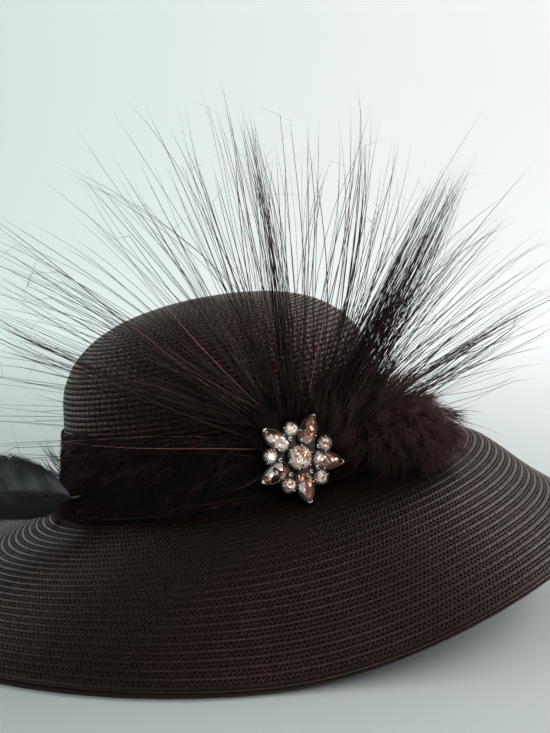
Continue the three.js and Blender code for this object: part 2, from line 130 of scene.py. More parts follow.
# %% Colours and nodes
def colour(code):
    """An sRGB hex value as linear red, green, blue and 1."""
    channels = [int(code[i:i + 2], 16) / 255 for i in (1, 3, 5)]
    linear = [c / 12.92 if c <= 0.04045 else ((c + 0.055) / 1.055) ** 2.4 for c in channels]
    return (*linear, 1.0)


def add(tree, kind, inputs=None, **settings):
    """A node with its settings. An input is a value, or another node's output to link."""
    node = tree.nodes.new(kind)
    for key, value in settings.items():
        setattr(node, key, value)
    for key, value in (inputs or {}).items():
        if isinstance(value, bpy.types.NodeSocket):
            tree.links.new(value, node.inputs[key])
        else:
            node.inputs[key].default_value = value
    return node


def new_finish(name, **values):
    """A material with one Principled shader, whose constants are set on its own sockets."""
    finish = bpy.data.materials.new(name)
    finish.use_nodes = True
    tree = finish.node_tree
    shader = tree.nodes["Principled BSDF"]
    for key, value in values.items():
        shader.inputs[key.replace("_", " ")].default_value = value
    return finish, tree, shader


# %% [markdown]
# ## Camera, floor and light
#
# The camera is close to the hat, about 65 cm away and a little above the brim, and looks down by less
# than 7 degrees. The floor runs flat for a metre and a half and then curves up into a round pale wall, as
# in a product studio, so that no horizon shows from any side. Away from the hat the wall glows, as
# painted light, and its colour is painted greyer and greener to the left, as painted shade. The wall's
# near half would shine on the hat as a huge lamp, so it shows but lights nothing.

# %% Camera
CAMERA_AT = (24.4, -645.5, 194.1)
LOOK_DOWN = 6.7
FOCAL_PIXELS = 1170
PICTURE_HEIGHT = 733
SENSOR = 36.0

camera_data = bpy.data.cameras.new("camera")
camera_data.sensor_fit = "VERTICAL"
camera_data.sensor_height = SENSOR
camera_data.lens = SENSOR * FOCAL_PIXELS / PICTURE_HEIGHT
camera_data.clip_start = 0.01
camera = bpy.data.objects.new("camera", camera_data)
camera.location = [v * MM for v in CAMERA_AT]
camera.rotation_euler = (math.radians(90 - LOOK_DOWN), 0, 0)
bpy.context.scene.collection.objects.link(camera)
bpy.context.scene.camera = camera

# %% Floor that curves up into a round backdrop
FLOOR_FLAT = 1500
FLOOR_DROP = 0.15
BEND = 800
WALL_TOP = 2700
FLAT_RINGS = 3

bend_turn = np.linspace(0, math.pi / 2, 12)
bowl_profile = np.concatenate([
    # radius, height
    [[400, 0], [900, 0]],
    np.stack([FLOOR_FLAT + BEND * np.sin(bend_turn), BEND * (1 - np.cos(bend_turn))], 1),
    [[FLOOR_FLAT + BEND, WALL_TOP]],
])


def bowl_part(name, turn, profile, finish, middle=False):
    """Each ring of the bowl is (radius cos turn, radius sin turn, height), just under the hat's rim."""
    turn = np.radians(turn)[None]
    radius, height = profile[:, :1], profile[:, 1:]
    points = np.stack([radius * np.cos(turn), radius * np.sin(turn), height - FLOOR_DROP + 0 * turn], -1)
    count = turn.shape[1]
    ring = np.arange(len(profile) - 1)[:, None] * count
    place = ring + np.arange(count - 1)
    quads = np.stack([place, place + count, place + count + 1, place + 1], -1).reshape(-1, 4).tolist()
    if middle:
        quads.append(list(range(count - 1)))
    mesh = bpy.data.meshes.new(name)
    mesh.from_pydata((points.reshape(-1, 3) * MM).tolist(), [], quads)
    mesh.polygons.foreach_set("use_smooth", [True] * len(mesh.polygons))
    mesh.materials.append(finish)
    part = bpy.data.objects.new(name, mesh)
    bpy.context.scene.collection.objects.link(part)
    part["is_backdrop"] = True
    return part


# Painted light: the backdrop's colour turns greyer to the left as painted shade, and its emission, which
# grows with distance from the hat, is a painted glow.
floor_finish, tree, shader = new_finish("paper_backdrop_painted_shade_and_glow", Roughness=0.9, Specular_IOR_Level=0.2)
place = add(tree, "ShaderNodeTexCoord")
axes = add(tree, "ShaderNodeSeparateXYZ", {"Vector": place.outputs["Object"]})
side = add(tree, "ShaderNodeMapRange", {"Value": axes.outputs["X"], "From Min": -0.9, "From Max": 0.7})
away = add(tree, "ShaderNodeVectorMath", {0: place.outputs["Object"]}, operation="LENGTH")
far = add(tree, "ShaderNodeMapRange", {"Value": away.outputs["Value"], "From Min": 0.3, "From Max": 1.6,
                                       "To Min": 0.0, "To Max": 0.58})
painted_shade_paper = add(tree, "ShaderNodeMix", {"Factor": side.outputs[0], "A": colour("#98adaa"),
                                    "B": colour("#dcdddd")}, data_type="RGBA")
painted_glow = add(tree, "ShaderNodeMix", {"Factor": side.outputs[0], "A": colour("#e3edeb"),
                                   "B": colour("#f6f6f6")}, data_type="RGBA")
tree.links.new(painted_shade_paper.outputs["Result"], shader.inputs["Base Color"])
tree.links.new(painted_glow.outputs["Result"], shader.inputs["Emission Color"])
tree.links.new(far.outputs[0], shader.inputs["Emission Strength"])
wall_profile = bowl_profile[FLAT_RINGS - 1:]
bowl_part("studio_floor", np.linspace(0, 360, 73), bowl_profile[:FLAT_RINGS], floor_finish, middle=True)
bowl_part("backdrop_behind", np.linspace(0, 180, 37), wall_profile, floor_finish)
backdrop_before = bowl_part("backdrop_before", np.linspace(180, 360, 37), wall_profile, floor_finish)
backdrop_before.visible_diffuse = False
backdrop_before.visible_glossy = False

# %% [markdown]
# The light is soft and comes mostly from the right and from behind, so that both sides of the
# crown have a pale edge and the front stays dark. The world glows more on the right as well.
# Three narrow lamps in front are there for the stones, which flash only where a facet finds one.

# %% Soft studio light
world = bpy.data.worlds.new("studio")
bpy.context.scene.world = world
world.use_nodes = True
world.node_tree.nodes["Background"].inputs["Color"].default_value = colour("#e9f3f1")
tree = world.node_tree
way = add(tree, "ShaderNodeVectorMath", {0: add(tree, "ShaderNodeTexCoord").outputs["Generated"],
                                         1: (0.85, 0.45, 0.28)}, operation="DOT_PRODUCT")
level = add(tree, "ShaderNodeMapRange", {"Value": way.outputs["Value"], "From Min": -0.9, "From Max": 0.9,
                                         "To Min": 0.05, "To Max": 0.34})
tree.links.new(level.outputs[0], tree.nodes["Background"].inputs["Strength"])
bpy.context.scene.view_settings.view_transform = "Standard"


def softbox(name, place, aim, width, height, watts):
    """A rectangular area light at one point in mm, turned to face another."""
    light = bpy.data.lights.new(name, "AREA")
    light.shape = "RECTANGLE"
    light.size = width * MM
    light.size_y = height * MM
    light.energy = watts
    holder = bpy.data.objects.new(name, light)
    start, end = np.array(place, float), np.array(aim, float)
    holder.location = start * MM
    towards = unit(end - start)
    holder.rotation_euler = (math.acos(-towards[2]), 0, math.atan2(-towards[0], towards[1]))
    bpy.context.scene.collection.objects.link(holder)


LAMPS = (
    # name, place, point that it faces, width, height, watts
    ("back_top_softbox", (520, 850, 1350), (0, 100, 60), 1300, 900, 4.5),
    ("right_softbox", (1250, 200, 700), (90, -20, 60), 900, 1100, 12.5),
    ("left_softbox", (-1200, 450, 420), (-40, 0, 120), 700, 900, 2.2),
    ("front_fill", (350, -1500, 1000), (60, 0, 90), 900, 700, 1.4),
    ("window_strip_1", (-260, -950, 900), (10, -80, 90), 70, 420, 0.8),
    ("window_strip_2", (120, -1000, 760), (10, -80, 90), 70, 420, 1.2),
    ("window_strip_3", (460, -880, 560), (10, -80, 90), 70, 420, 1.5),
)
for lamp in LAMPS:
    softbox(*lamp)
print("lamps:", len(LAMPS))

# %% [markdown]
# ## The crown's form
#
# The crown is an oval dome on an axis that leans to the left. Its side is a short table of
# heights and radii, with a smooth curve through it. The same table and the same curve made the
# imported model, so the braid lands exactly where the model's wall is.

# %% A smooth curve through a table
def curve_through(places, values):
    """A curve with no overshoot: the slope at a row is the harmonic mean of its neighbours'."""
    places, values = np.asarray(places, float), np.asarray(values, float)
    slope = np.diff(values) / np.diff(places)
    product = slope[:-1] * slope[1:]
    both = slope[:-1] + slope[1:]
    inner = np.where(product > 0, 2 * product / np.where(both == 0, 1, both), 0)
    tangent = np.concatenate([slope[:1], inner, slope[-1:]])

    def value(at):
        """Cubic in t between two rows: their values and their slopes are met at both ends."""
        i = np.clip(np.searchsorted(places, at, side="right") - 1, 0, len(places) - 2)
        step = places[i + 1] - places[i]
        t = np.clip((at - places[i]) / step, 0, 1)
        s = 1 - t
        return (values[i] * s * s * (1 + 2 * t) + values[i + 1] * t * t * (3 - 2 * t)
                + step * t * s * (s * tangent[i] - t * tangent[i + 1]))

    return value


# %% The crown as a function of turn and rise
CROWN_LENGTH = 97
CROWN_DEPTH = 86
CROWN_HEIGHT = 98.8
CROWN_FOOT = np.array([2.3, 0, 59])
LEAN = math.radians(11)
STRAW = 1.6
RIGHT = np.array([math.cos(LEAN), 0, math.sin(LEAN)])
BACK = np.array([0, 1.0, 0])
AXIS = np.array([-math.sin(LEAN), 0, math.cos(LEAN)])
UP = np.array([0, 0, 1.0])

crown_side = np.array([
    (0, 1), (0.25, 0.945), (0.45, 0.902), (0.62, 0.868), (0.75, 0.795),
    (0.85, 0.684), (0.92, 0.545), (0.965, 0.385), (1, 0),
])
squared_radius = curve_through(crown_side[:, 0], crown_side[:, 1] ** 2)


def crown_skin(turn, rise):
    """Foot + radius(rise) x (length cos turn, depth sin turn) + rise along the leaning axis."""
    turn, rise = np.broadcast_arrays(np.radians(turn), np.asarray(rise, float))
    radius = np.sqrt(np.maximum(squared_radius(np.clip(rise / CROWN_HEIGHT, 0, 1)), 0))
    return (CROWN_FOOT + (radius * CROWN_LENGTH * np.cos(turn))[..., None] * RIGHT
            + (radius * CROWN_DEPTH * np.sin(turn))[..., None] * BACK + rise[..., None] * AXIS)


def crown_normal(turn, rise):
    """Cross product of a step round the crown and a step up it."""
    low = np.maximum(rise - 0.5, 0)
    round_step = crown_skin(turn + 0.5, rise) - crown_skin(turn - 0.5, rise)
    up_step = crown_skin(turn, low + 1) - crown_skin(turn, low)
    return unit(np.cross(round_step, up_step))


def off_crown(turn, rise, out):
    """A point on the crown, moved out along its normal."""
    return crown_skin(turn, rise) + np.asarray(out, float)[..., None] * crown_normal(turn, rise)


# %% [markdown]
# ## The brim's form
#
# The brim is one width all round. From the crown outwards it falls at an angle that a table
# gives for the left, the front and the right, and the turns between are blended. Each section is
# then scaled in height so that its rim ends on the floor, or on the wave at the right.

# %% The brim as sections of equal steps
BRIM_WIDTH = 112
BRIM_THICKNESS = 1.8
RIM_LIFT = 40
brim_fall = np.array([
    # out, left, front, right
    (0, 28, 14, -18), (0.15, 27, 14, -8), (0.3, 25, 17, 8), (0.45, 24, 27, 26),
    (0.6, 20, 38, 30), (0.8, 12, 43, 25), (1, 6, 39, 32),
])
falls = [curve_through(brim_fall[:, 0], brim_fall[:, column]) for column in (1, 2, 3)]


def brim_sections(turn, steps):
    """One row of points per turn: equal steps along the brim, each falling at its own angle."""
    c = np.cos(np.radians(turn))[:, None]
    foot = crown_skin(turn, 0)
    rim = np.where(c > 0, RIM_LIFT * c ** 3 * (4 - 3 * c), 0)
    left, front, right = (fall((np.arange(steps) + 0.5) / steps)[None] for fall in falls)
    angle = front + (right - left) / 2 * c + ((right + left) / 2 - front) * c ** 2
    step = BRIM_WIDTH / steps
    drop = np.sin(np.radians(angle)) * step
    drop *= (foot[:, 2:] - rim - BRIM_THICKNESS) / drop.sum(1, keepdims=True)
    run = np.sqrt(step ** 2 - drop ** 2)
    outward = unit(np.stack([np.cos(np.radians(turn)) / (CROWN_LENGTH * math.cos(LEAN)),
                             np.sin(np.radians(turn)) / CROWN_DEPTH, np.zeros(len(turn))], 1))
    from_foot = np.concatenate([np.zeros((len(turn), 1)), np.cumsum(run, 1)], 1)
    fallen = np.concatenate([np.zeros((len(turn), 1)), np.cumsum(drop, 1)], 1)
    return foot[:, None] + outward[:, None] * from_foot[..., None] - UP * fallen[..., None]


# %% [markdown]
# ## Sewn braid
#
# Polybraid is a flat plait of shiny synthetic straw with a raised rib and an openwork edge. It is
# sewn round and round, each row lapping the last, so the surface is a set of rings. On the brim
# they are about 4.2 mm apart, each with a thin rib and two rows of holes, set like bricks. On
# the crown they are 2.8 mm apart, with a wide rib and one row of holes.
#
# A plait could be woven strand by strand, but it would take millions of faces. Here the ribs are a relief
# on the wall's own grid, six rings to a row, the holes are painted dark as painted shade, and the short
# threads between them are separate thin bars of eight triangles each.

# %% Grids, rings and waviness
RINGS_PER_ROW = 6
BRIM_RIB = np.array([0.16, 0.52, 0.10, -0.28, 0.28, -0.28])
CROWN_RIB = np.array([0.10, 0.38, 0.44, 0.38, 0.06, -0.34])


def ripple(turn, rows, waves=5):
    """A smooth hand-sewn wander, periodic in turn and different in each row: a sum of sines."""
    total = np.zeros((len(turn), len(rows)))
    for k in range(1, waves + 1):
        phase = rng.uniform(0, 2 * math.pi, 2)
        total += np.sin(np.radians(turn)[:, None] * (2 * k + 1) + phase[0]
                        + rows[None] * (0.35 * k) + phase[1]) / k
    return total / 2


def grid_normals(grid):
    """Normals of a grid of points (round, across): cross product of the steps both ways."""
    round_step = np.roll(grid, -1, 0) - np.roll(grid, 1, 0)
    across_step = np.gradient(grid, axis=1)
    return unit(np.cross(across_step, round_step))


def strip_faces(columns, rings, closed=False):
    """Quads of a grid stored ring by ring, each ring closed on itself."""
    ring = np.arange(rings if closed else rings - 1)[:, None]
    column = np.arange(columns)[None]
    after = (ring + 1) % rings
    beside = (column + 1) % columns
    return np.stack([ring * columns + column, after * columns + column,
                     after * columns + beside, ring * columns + beside], -1).reshape(-1, 4)


def ring_uv(rings, row_of_strip, first, closed=False):
    """Corner UVs: mm along each row's own middle ring, and the count of rows across."""
    count = len(rings)
    strips = count if closed else count - 1
    after = (np.arange(strips) + 1) % count
    step = np.linalg.norm(np.roll(rings, -1, 1) - rings, axis=-1)
    along = np.concatenate([np.zeros((count, 1)), np.cumsum(step, 1)], 1)
    own = along[np.minimum(row_of_strip, count - 1)]
    low = (np.arange(strips) - first)[:, None] / RINGS_PER_ROW
    high = low + 1 / RINGS_PER_ROW - 1e-4
    near, far = own[:, :-1], own[:, 1:]
    corner = lambda u, v: np.stack([u, np.broadcast_to(v, u.shape)], -1)
    return np.stack([corner(near, low), corner(near, high), corner(far, high), corner(far, low)],
                    2).reshape(-1, 4, 2)


# %% [markdown]
# The straw is black-brown and glossy. Light skates along the ribs, so that they turn grey at the hat's
# two sides and stay warm dark brown in the middle. Fine streaks run along each row, about 0.4 mm apart,
# and the dye wanders between black and red-brown in patches of 45 mm. The UV map runs along each row in
# mm and counts the rows across, so a ramp over its V paints shade into the holes between two ribs. On the
# crown the stitches show as low humps along U, shifted by half a stitch in every other row, with painted
# shade in the dips between them.

# %% Polybraid straw finish
STREAK_LENGTH = 6.25
STREAKS_PER_ROW = 11
LUMP_LENGTH = 1.25
LUMPS_PER_ROW = 1.6
DYE_PATCHES_PER_METRE = 22.0


def straw_finish(name, dark, light, hole_shade_ramp, stitch, stitch_bump_and_shade):
    """Streaks along U, humps of sin(2 pi U / stitch + pi floor(V)), and painted shade in the holes over V
    and in the dips between humps.
    """
    finish, tree, shader = new_finish(name, Specular_IOR_Level=0.36, Coat_Weight=0.04,
                                      Coat_Roughness=0.2)
    shader.inputs["Specular Tint"].default_value = colour("#ffcfbe")
    place = add(tree, "ShaderNodeTexCoord")
    streaks = add(tree, "ShaderNodeMapping", {"Vector": place.outputs["UV"],
                                              "Scale": (1 / STREAK_LENGTH, STREAKS_PER_ROW, 1)})
    fibre = add(tree, "ShaderNodeTexNoise", {"Vector": streaks.outputs[0], "Scale": 1.0, "Detail": 3.0})
    stitches = add(tree, "ShaderNodeMapping", {"Vector": place.outputs["UV"],
                                               "Scale": (1 / LUMP_LENGTH, LUMPS_PER_ROW, 1)})
    plait = add(tree, "ShaderNodeTexNoise", {"Vector": stitches.outputs[0], "Scale": 1.0, "Detail": 2.0})
    dye = add(tree, "ShaderNodeTexNoise", {"Vector": place.outputs["Object"],
                                           "Scale": DYE_PATCHES_PER_METRE, "Detail": 3.0})
    warm = add(tree, "ShaderNodeMix", {"Factor": dye.outputs[0], "A": colour(dark), "B": colour(light)},
               data_type="RGBA")
    split = add(tree, "ShaderNodeSeparateXYZ", {"Vector": place.outputs["UV"]})
    row = add(tree, "ShaderNodeMath", {0: split.outputs["Y"]}, operation="FRACT")
    # Painted shade in the holes: a ramp over the fraction of V.
    hole_shade = add(tree, "ShaderNodeValToRGB", {"Fac": row.outputs[0]})
    ramp = hole_shade.color_ramp.elements
    for number, (at, level) in enumerate(hole_shade_ramp):
        stop = ramp[number] if number < 2 else ramp.new(at)
        stop.position, stop.color = at, (level, level, level, 1)
    whole = add(tree, "ShaderNodeMath", {0: split.outputs["Y"]}, operation="FLOOR")
    half_turns = add(tree, "ShaderNodeMath", {0: whole.outputs[0], 1: math.pi}, operation="MULTIPLY")
    phase = add(tree, "ShaderNodeMath", {0: split.outputs["X"], 1: math.tau / stitch,
                                         2: half_turns.outputs[0]}, operation="MULTIPLY_ADD")
    hump = add(tree, "ShaderNodeMath", {0: phase.outputs[0]}, operation="SINE")
    # Painted shade in the dips between the stitch humps.
    dip_shade = add(tree, "ShaderNodeMapRange", {"Value": hump.outputs[0], "From Min": 0.2, "From Max": -1.0,
                                              "To Min": 0.0, "To Max": stitch_bump_and_shade})
    painted_shade_mask = add(tree, "ShaderNodeMath", {0: hole_shade.outputs[0], 1: dip_shade.outputs[0]}, operation="MAXIMUM")
    shaded = add(tree, "ShaderNodeMix", {"Factor": painted_shade_mask.outputs[0], "A": warm.outputs["Result"],
                                         "B": colour("#020101")}, data_type="RGBA")
    tree.links.new(shaded.outputs["Result"], shader.inputs["Base Color"])
    dull = add(tree, "ShaderNodeMapRange", {"Value": plait.outputs[0], "From Min": 0.3, "From Max": 0.7,
                                            "To Min": 0.24, "To Max": 0.55})
    rough = add(tree, "ShaderNodeMath", {0: dull.outputs[0], 1: painted_shade_mask.outputs[0]}, operation="MAXIMUM")
    tree.links.new(rough.outputs[0], shader.inputs["Roughness"])
    weave = add(tree, "ShaderNodeBump", {"Height": fibre.outputs[0], "Strength": 0.5, "Distance": 0.0003})
    lumps = add(tree, "ShaderNodeBump", {"Height": plait.outputs[0], "Strength": 0.7, "Distance": 0.0007,
                                         "Normal": weave.outputs[0]})
    stitched = add(tree, "ShaderNodeBump", {"Height": hump.outputs[0], "Strength": 1.5 * stitch_bump_and_shade,
                                            "Distance": 0.0002, "Normal": lumps.outputs[0]})
    tree.links.new(stitched.outputs[0], shader.inputs["Normal"])
    return finish


# Each hole shade ramp is a list of (V, darkness) of painted shade: 0 on the straw, 1 in the holes. The
# threads are all straw, so their ramp lies above the V that they use. A finish's last number scales both
# the stitch humps' bump and the painted shade in the dips between them.
BRIM_STITCH = 2.3
CROWN_STITCH = 4.4
BRIM_HOLE_SHADE = ((0.31, 0.0), (0.40, 1.0), (0.56, 1.0), (0.61, 0.0),
               (0.72, 0.0), (0.78, 1.0), (0.90, 1.0), (0.95, 0.0))
CROWN_HOLE_SHADE = ((0.66, 0.0), (0.74, 1.0), (0.94, 1.0), (0.99, 0.0))
THREAD_HOLE_SHADE = ((0.9, 0.0), (0.99, 1.0), (0.995, 0.0))

# The brim's straw has dimmer colours than the crown's, as painted shade on the brim.
shaded_brim_straw = straw_finish("dyed_polybraid_brim_painted_shade", "#0b0807", "#20130d", BRIM_HOLE_SHADE, BRIM_STITCH, 0.0)
crown_straw = straw_finish("dyed_polybraid_crown", "#1b110e", "#43291f", CROWN_HOLE_SHADE, CROWN_STITCH, 0.45)
thread_straw = straw_finish("dyed_polybraid_threads", "#0d0908", "#2a1810",
                            THREAD_HOLE_SHADE, BRIM_STITCH, 0.0)

# %% [markdown]
# The threads of a row are counted off along its groove at the real spacing, and each strays by a
# tenth of a millimetre. A gap is given as two shares of a row, from one rib's edge to the next.

# %% Ladder bars across the grooves
def on_grid(grid, column, ring):
    """A point between grid points: the four around it, weighted by nearness."""
    c0 = np.floor(column).astype(int)
    r0 = np.clip(np.floor(ring).astype(int), 0, grid.shape[1] - 2)
    fc, fr = (column - c0)[:, None], (ring - r0)[:, None]
    c1 = (c0 + 1) % grid.shape[0]
    c0 = c0 % grid.shape[0]
    return ((grid[c0, r0] * (1 - fc) + grid[c1, r0] * fc) * (1 - fr)
            + (grid[c0, r0 + 1] * (1 - fc) + grid[c1, r0 + 1] * fc) * fr)


def ladder(name, grid, normals, rows, node, gaps, spacing, wide, first_row):
    """Each bar is a low three-sided prism over a gap, from one rib's edge to the next rib."""
    columns, starts, ends = [], [], []
    for row in range(first_row, rows - 1):
        ring = int((row + sum(gaps[0]) / 2) * RINGS_PER_ROW)
        closed = np.concatenate([grid[:, ring], grid[:1, ring]])
        along = np.concatenate([[0], np.cumsum(np.linalg.norm(np.diff(closed, axis=0), axis=1))])
        count = max(int(along[-1] / spacing), 6)
        first = 0.5 * row + rng.normal(0, 0.06)
        for number, (low, high) in enumerate(gaps):
            spots = (np.arange(count) + first + number / 2) / count * along[-1]
            spots += rng.normal(0, 0.1, count)
            columns.append(np.interp(spots % along[-1], along, np.arange(len(along))))
            starts.append(np.full(count, (row + low) * RINGS_PER_ROW))
            ends.append(np.full(count, (row + high) * RINGS_PER_ROW))
    column, start, end = (np.concatenate(values) for values in (columns, starts, ends))
    slant = rng.normal(0, 0.05, len(column))
    a = on_grid(grid, column, start)
    b = on_grid(grid, column + slant, end)
    up = unit(on_grid(normals, column, (start + end) / 2))
    side = unit(np.cross(b - a, up)) * (wide / 2)
    top = rng.uniform(0.26, 0.42, len(column))[:, None] * up
    low = 0.02 * up
    points = np.stack([a - side + low, a + side + low, a + top,
                       b - side + low, b + side + low, b + top], 1).reshape(-1, 3)
    base = (np.arange(len(column)) * 6)[:, None]
    ends_faces = np.concatenate([base + [0, 2, 1], base + [3, 4, 5]])
    side_faces = np.concatenate([base + [0, 1, 4, 3], base + [1, 2, 5, 4], base + [2, 0, 3, 5]])
    own_stretch = np.repeat(column * 3.1, 6)
    on_the_straw = np.tile([0.1, 0.2, 0.3], 2 * len(column))
    uv = np.stack([own_stretch, on_the_straw], -1)
    return make_piece(name, points, [ends_faces, side_faces], thread_straw, nodes=(node,),
                      corner_uv=[uv[ends_faces], uv[side_faces]])


# %% [markdown]
# The brim's shell runs as one loop: out along the ribbed top, round the wired rim, back along
# the underside and up inside the crown's wall. Its underside shows the same rows from behind,
# as shallow steps.

# %% Brim shell
BRIM_COLUMNS = 320
BRIM_ROWS = 27
BRIM_FIRST_RINGS = (-0.1, 0.2)
WIRED_RIM = np.array([0.1, 0.5, 0.75, 0.8, 0.7, 0.2])
UNDER_STEP = 0.3

brim_turn = np.arange(BRIM_COLUMNS) * 360 / BRIM_COLUMNS
brim_base = brim_sections(brim_turn, BRIM_ROWS * RINGS_PER_ROW)
brim_up = grid_normals(brim_base)
brim_up *= np.sign(brim_up[:, 5:6, 2:].mean())
relief = np.tile(BRIM_RIB, BRIM_ROWS + 1)[:BRIM_ROWS * RINGS_PER_ROW + 1]
relief[:2] = BRIM_FIRST_RINGS
wander = ripple(brim_turn, np.arange(brim_base.shape[1]) / RINGS_PER_ROW)
brim_height = relief[None] * (1 + 0.25 * wander)
brim_height[:, -RINGS_PER_ROW:] = WIRED_RIM
brim_top = brim_base + brim_up * brim_height[..., None]
under_rows = np.arange(BRIM_ROWS * RINGS_PER_ROW, -1, -3)
under_depth = BRIM_THICKNESS - UNDER_STEP * (np.arange(len(under_rows)) % 2)
brim_under = (brim_base - brim_up * BRIM_THICKNESS)[:, under_rows]
brim_under += brim_up[:, under_rows] * (BRIM_THICKNESS - under_depth)[None, :, None]
inner_turn = np.radians(brim_turn)
inner_edge = (CROWN_FOOT + (CROWN_LENGTH - STRAW) * np.cos(inner_turn)[:, None] * RIGHT
              + (CROWN_DEPTH - STRAW) * np.sin(inner_turn)[:, None] * BACK)[:, None]
inner_under = inner_edge - BRIM_THICKNESS * AXIS
brim_under = np.concatenate([brim_under[:, :-1], inner_under], 1)
brim_rings = np.concatenate([inner_edge, brim_top, brim_under], 1).transpose(1, 0, 2)
brim_rings[..., 2] = np.maximum(brim_rings[..., 2], 0)
strips = np.arange(len(brim_rings))
brim_row = np.where(strips < brim_base.shape[1],
                    (strips - 1) // RINGS_PER_ROW * RINGS_PER_ROW + 4, strips)
make_piece("brim_braid", brim_rings.reshape(-1, 3), [strip_faces(BRIM_COLUMNS, len(brim_rings), True)],
           shaded_brim_straw, nodes=("brim",),
           corner_uv=[ring_uv(brim_rings, np.maximum(brim_row, 0), 1, closed=True)])
ladder("brim_ladder", brim_base, brim_up, BRIM_ROWS, "brim", ((0.36, 0.66), (0.68, 1.0)),
       spacing=BRIM_STITCH, wide=1.3, first_row=1)

# %% [markdown]
# The crown's rows are spaced evenly along the wall, from the foot to the button at the top. The
# heights for that come from a close table of the wall's own length. A plain inner wall closes
# the shell, and its two poles are closed by fans of triangles.

# %% Fans that close a grid
def end_fans(columns, rings):
    """Triangles from a grid's first and last ring to two more points, stored after its own."""
    j, last, pole = np.arange(columns), (rings - 1) * columns, rings * columns
    k = (j + 1) % columns
    return np.concatenate([np.stack([np.full(columns, pole), j, k], 1),
                           np.stack([np.full(columns, pole + 1), last + k, last + j], 1)])


# %% Crown shell
CROWN_COLUMNS = 180
CROWN_ROW = 2.8
INNER_RINGS = 34
BRIM_GAP = 0.35

dense_rises = CROWN_HEIGHT * (1 - (1 - np.linspace(0, 1, 2000)) ** 2)
dense_rises[0] = BRIM_GAP
meridian = crown_skin(45.0, dense_rises)
arc = np.concatenate([[0], np.cumsum(np.linalg.norm(np.diff(meridian, axis=0), axis=1))])
CROWN_ROWS = int(arc[-1] / CROWN_ROW)
crown_rises = np.interp(np.linspace(0, arc[-1], CROWN_ROWS * RINGS_PER_ROW + 1), arc, dense_rises)
crown_turn = np.arange(CROWN_COLUMNS) * 360 / CROWN_COLUMNS
crown_base = crown_skin(crown_turn[:, None], crown_rises[None, :-1])
crown_out = grid_normals(crown_base)
crown_out *= np.sign((crown_out[:, 10] * (crown_base[:, 10] - CROWN_FOOT)).sum())
wander = ripple(crown_turn, np.arange(crown_base.shape[1]) / RINGS_PER_ROW)
crown_height = np.tile(CROWN_RIB, CROWN_ROWS)[None] * (1 + 0.3 * wander)
crown_wall = crown_base + crown_out * crown_height[..., None]
inner_rises = np.interp(np.linspace(0, arc[-1] * 0.985, INNER_RINGS), arc, dense_rises)
inner_wall = off_crown(crown_turn[:, None], inner_rises[None], np.full((1, 1), -STRAW))
inner_wall[:, 0] += AXIS * ((crown_base[:, 0] - inner_wall[:, 0]) @ AXIS)[:, None]
crown_rings = np.concatenate([inner_wall[:, ::-1], crown_wall], 1).transpose(1, 0, 2)
top = CROWN_FOOT + AXIS * CROWN_HEIGHT
poles = np.stack([top - AXIS * STRAW, top + AXIS * 0.1])
crown_points = np.concatenate([crown_rings.reshape(-1, 3), poles])
caps = end_fans(CROWN_COLUMNS, len(crown_rings))
strips = np.arange(len(crown_rings) - 1) - INNER_RINGS
crown_row = np.where(strips >= 0, strips // RINGS_PER_ROW * RINGS_PER_ROW + 3, strips) + INNER_RINGS
cap_uv = np.zeros((len(caps), 3, 2))
make_piece("crown_braid", crown_points, [strip_faces(CROWN_COLUMNS, len(crown_rings)), caps],
           crown_straw, nodes=("crown",),
           corner_uv=[ring_uv(crown_rings, crown_row, INNER_RINGS), cap_uv])
ladder("crown_ladder", crown_base, crown_out, CROWN_ROWS - 1, "crown", ((0.60, 1.04),),
       spacing=2.9, wide=1.35, first_row=8)

# %% [markdown]
# The brooch faces straight out from the crown at one turn and rise. Its plane is worked out
# here, before the down and the quills, because both have to stay behind it.

# %% The brooch's own plane
BROOCH_TURN = -70.0
BROOCH_RISE = 16.1
BROOCH_OUT = 20.35
STAR_REACH = 23
brooch_centre = off_crown(BROOCH_TURN, BROOCH_RISE, BROOCH_OUT)
facing = crown_normal(BROOCH_TURN, BROOCH_RISE)
brooch_right = unit(np.cross(UP, facing))
brooch_up = np.cross(facing, brooch_right)


def on_brooch(points):
    """Across, up and out of the brooch's plane to the hat's own directions."""
    return (brooch_centre + points[..., :1] * brooch_right + points[..., 1:2] * brooch_up
            + points[..., 2:] * facing)


def behind_brooch(points):
    """Points in front of the star's plate, within its circle, are pushed back to behind it."""
    off = points - brooch_centre
    out = off @ facing
    flat = np.linalg.norm(off - out[..., None] * facing, axis=-1)
    push = np.where(flat < STAR_REACH, np.maximum(out + 4, 0), 0)
    return points - push[..., None] * facing


# %% [markdown]
# ## Down and quills
#
# Marabou is the soft down of a turkey: short plumes with a thin stem, whose barbs float off it
# on all sides. Hair particles would be lost in the export, so each barb is a real mesh: a
# three-sided spike of a few segments, with its root closed and its tip a point. Barbs start all
# along a set of stems, leave at an angle, and turn back towards the way the stem runs.
# Real barbs are 0.05 mm thick. On the surface these are mostly 0.1 to 0.3 mm, about the finest
# that still shows.

